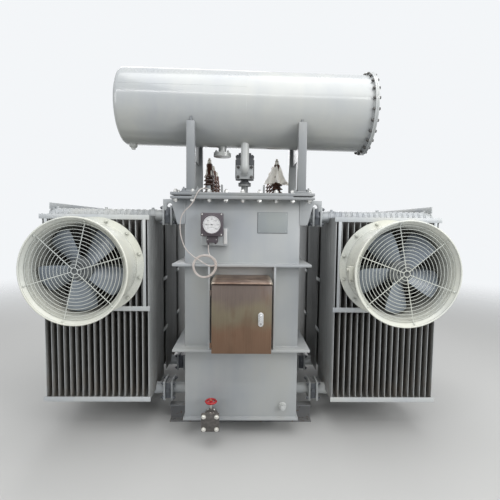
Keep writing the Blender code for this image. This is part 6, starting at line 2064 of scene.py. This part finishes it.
bright = steel("plated_bolts", (0.78, 0.77, 0.72), 0.28, 0.3)
form = bmesh.new()
away = BLANK_BOLT_AWAY
for x in (DRAIN_X - away, DRAIN_X + away):
    for z in (DRAIN_Z - away, DRAIN_Z + away):
        seat = front_seat(x, BLANK_END, z)
        lathe(form, DRAIN_WASHER_PROFILE, seat, 28)
        lathe(form, DRAIN_NUT_PROFILE, seat, 6)
        nut(form, aim((x, BODY_END - SEAT_GAP, z), (0, 1, 0)), 0.022, 0.011)
nut(form, aim((DRAIN_X, BODY_END - 0.0025, top + 0.006), (0, -0.5, 1)), 0.016, 0.01)
away_x, away_y = BONNET_BOLTS
for x in (DRAIN_X - away_x, DRAIN_X + away_x):
    for y in (STEM_Y - away_y, STEM_Y + away_y):
        nut(form, shift(x, y, top - OVERLAP), 0.014, 0.009)
lathe(form, [(0.0068, STEM_FOOT), (0.0068, STEM_TOP)], stem, 20)
piece("drain_bolts", form, bright)


# The drain's handwheel: cast with three spokes and a scalloped rim, dipped in red paint, and held on the stem
# by a brass nut.
WHEEL_LOW = 0.322
WHEEL_RADIUS = 0.045
RIM_IN = 0.0092
RIM_HALF_WIDTH = 0.0078
RIM_HALF_HEIGHT = 0.0088
RIM_MIDDLE = 0.009
RIM_STEPS = 96
GRIPS = 8
GRIP_SWELL = 0.0011
HUB_PROFILE = ((0, 0), (0.0125, 0), (0.013, 0.0008), (0.013, 0.018), (0.0115, 0.0195), (0, 0.0195))
WHEEL_SPOKE = ((0.009, 0.012), (0.018, 0.0095), (0.03, 0.009))
STEM_NUT_PROFILE = ((0.0085, 0.019), (0.0085, 0.02), (0.0062, 0.0202), (0.0062, 0.0216), (0, 0.0219))
WHEEL_RED = (0.43, 0.008, 0.014)

red_dip = enamel("red_dip", WHEEL_RED, gloss=0.24, grime=0.25)
form = bmesh.new()
wheel = shift(DRAIN_X, STEM_Y, WHEEL_LOW)
lathe(form, HUB_PROFILE, wheel, 32)
rings = []
for turn in [tau * j / 10 for j in range(10)]:
    ring = []
    for angle in [tau * k / RIM_STEPS for k in range(RIM_STEPS)]:
        radius = WHEEL_RADIUS - RIM_IN + GRIP_SWELL * cos(GRIPS * angle) + RIM_HALF_WIDTH * cos(turn)
        ring.append(polar(wheel, radius, angle, RIM_MIDDLE + RIM_HALF_HEIGHT * sin(turn)))
    rings.append(ring)
skin(form, rings, closed=True)
for turn in [radians(90 + 120 * k) for k in range(3)]:
    tube(form, [polar(wheel, radius, turn, z) for radius, z in WHEEL_SPOKE], 0.0052, 12)
piece("handwheel", form, red_dip, body="drain_handwheel", node="drain_handwheel",
      sharp=45)
form = bmesh.new()
lathe(form, STEM_NUT_PROFILE, wheel, 6)
yellow_brass = steel("yellow_brass", (0.72, 0.52, 0.22), 0.3, 0.4)
piece("wheel_nut", form, yellow_brass, body="drain_handwheel")


# The sampling valve: a small turned steel boss welded to the wall, with a knurled cap and a pin to turn it,
# painted over with the tank.
SAMPLE_X = 0.315
SAMPLE_Z = 0.252
SAMPLE_PROFILE = ((0.026, 0), (0.026, 0.018), (0.0245, 0.02), (0.015, 0.0205), (0.015, 0.024),
                  (0.0185, 0.025), (0.019, 0.0265), (0.019, 0.042), (0.0175, 0.0435), (0.008, 0.044),
                  (0.007, 0.05), (0, 0.05))
RIDGES = 24
RIDGE_CIRCLE = 0.0188
RIDGE_ENDS = (0.027, 0.0415)
RIDGE_SIZE = 0.0011

form = bmesh.new()
boss = front_seat(SAMPLE_X, FRONT - SEAT_GAP, SAMPLE_Z)
lathe(form, SAMPLE_PROFILE, boss, 40)
ring_weld(form, boss @ shift(0, 0, 0.002), 0.0262, CAP_WELD, 28)
for k in range(RIDGES):
    ridge = [polar(boss, RIDGE_CIRCLE, tau * k / RIDGES, z) for z in RIDGE_ENDS]
    tube(form, ridge, RIDGE_SIZE, 5)
piece("sampling_tap", form, header_enamel, node="sampling_valve")
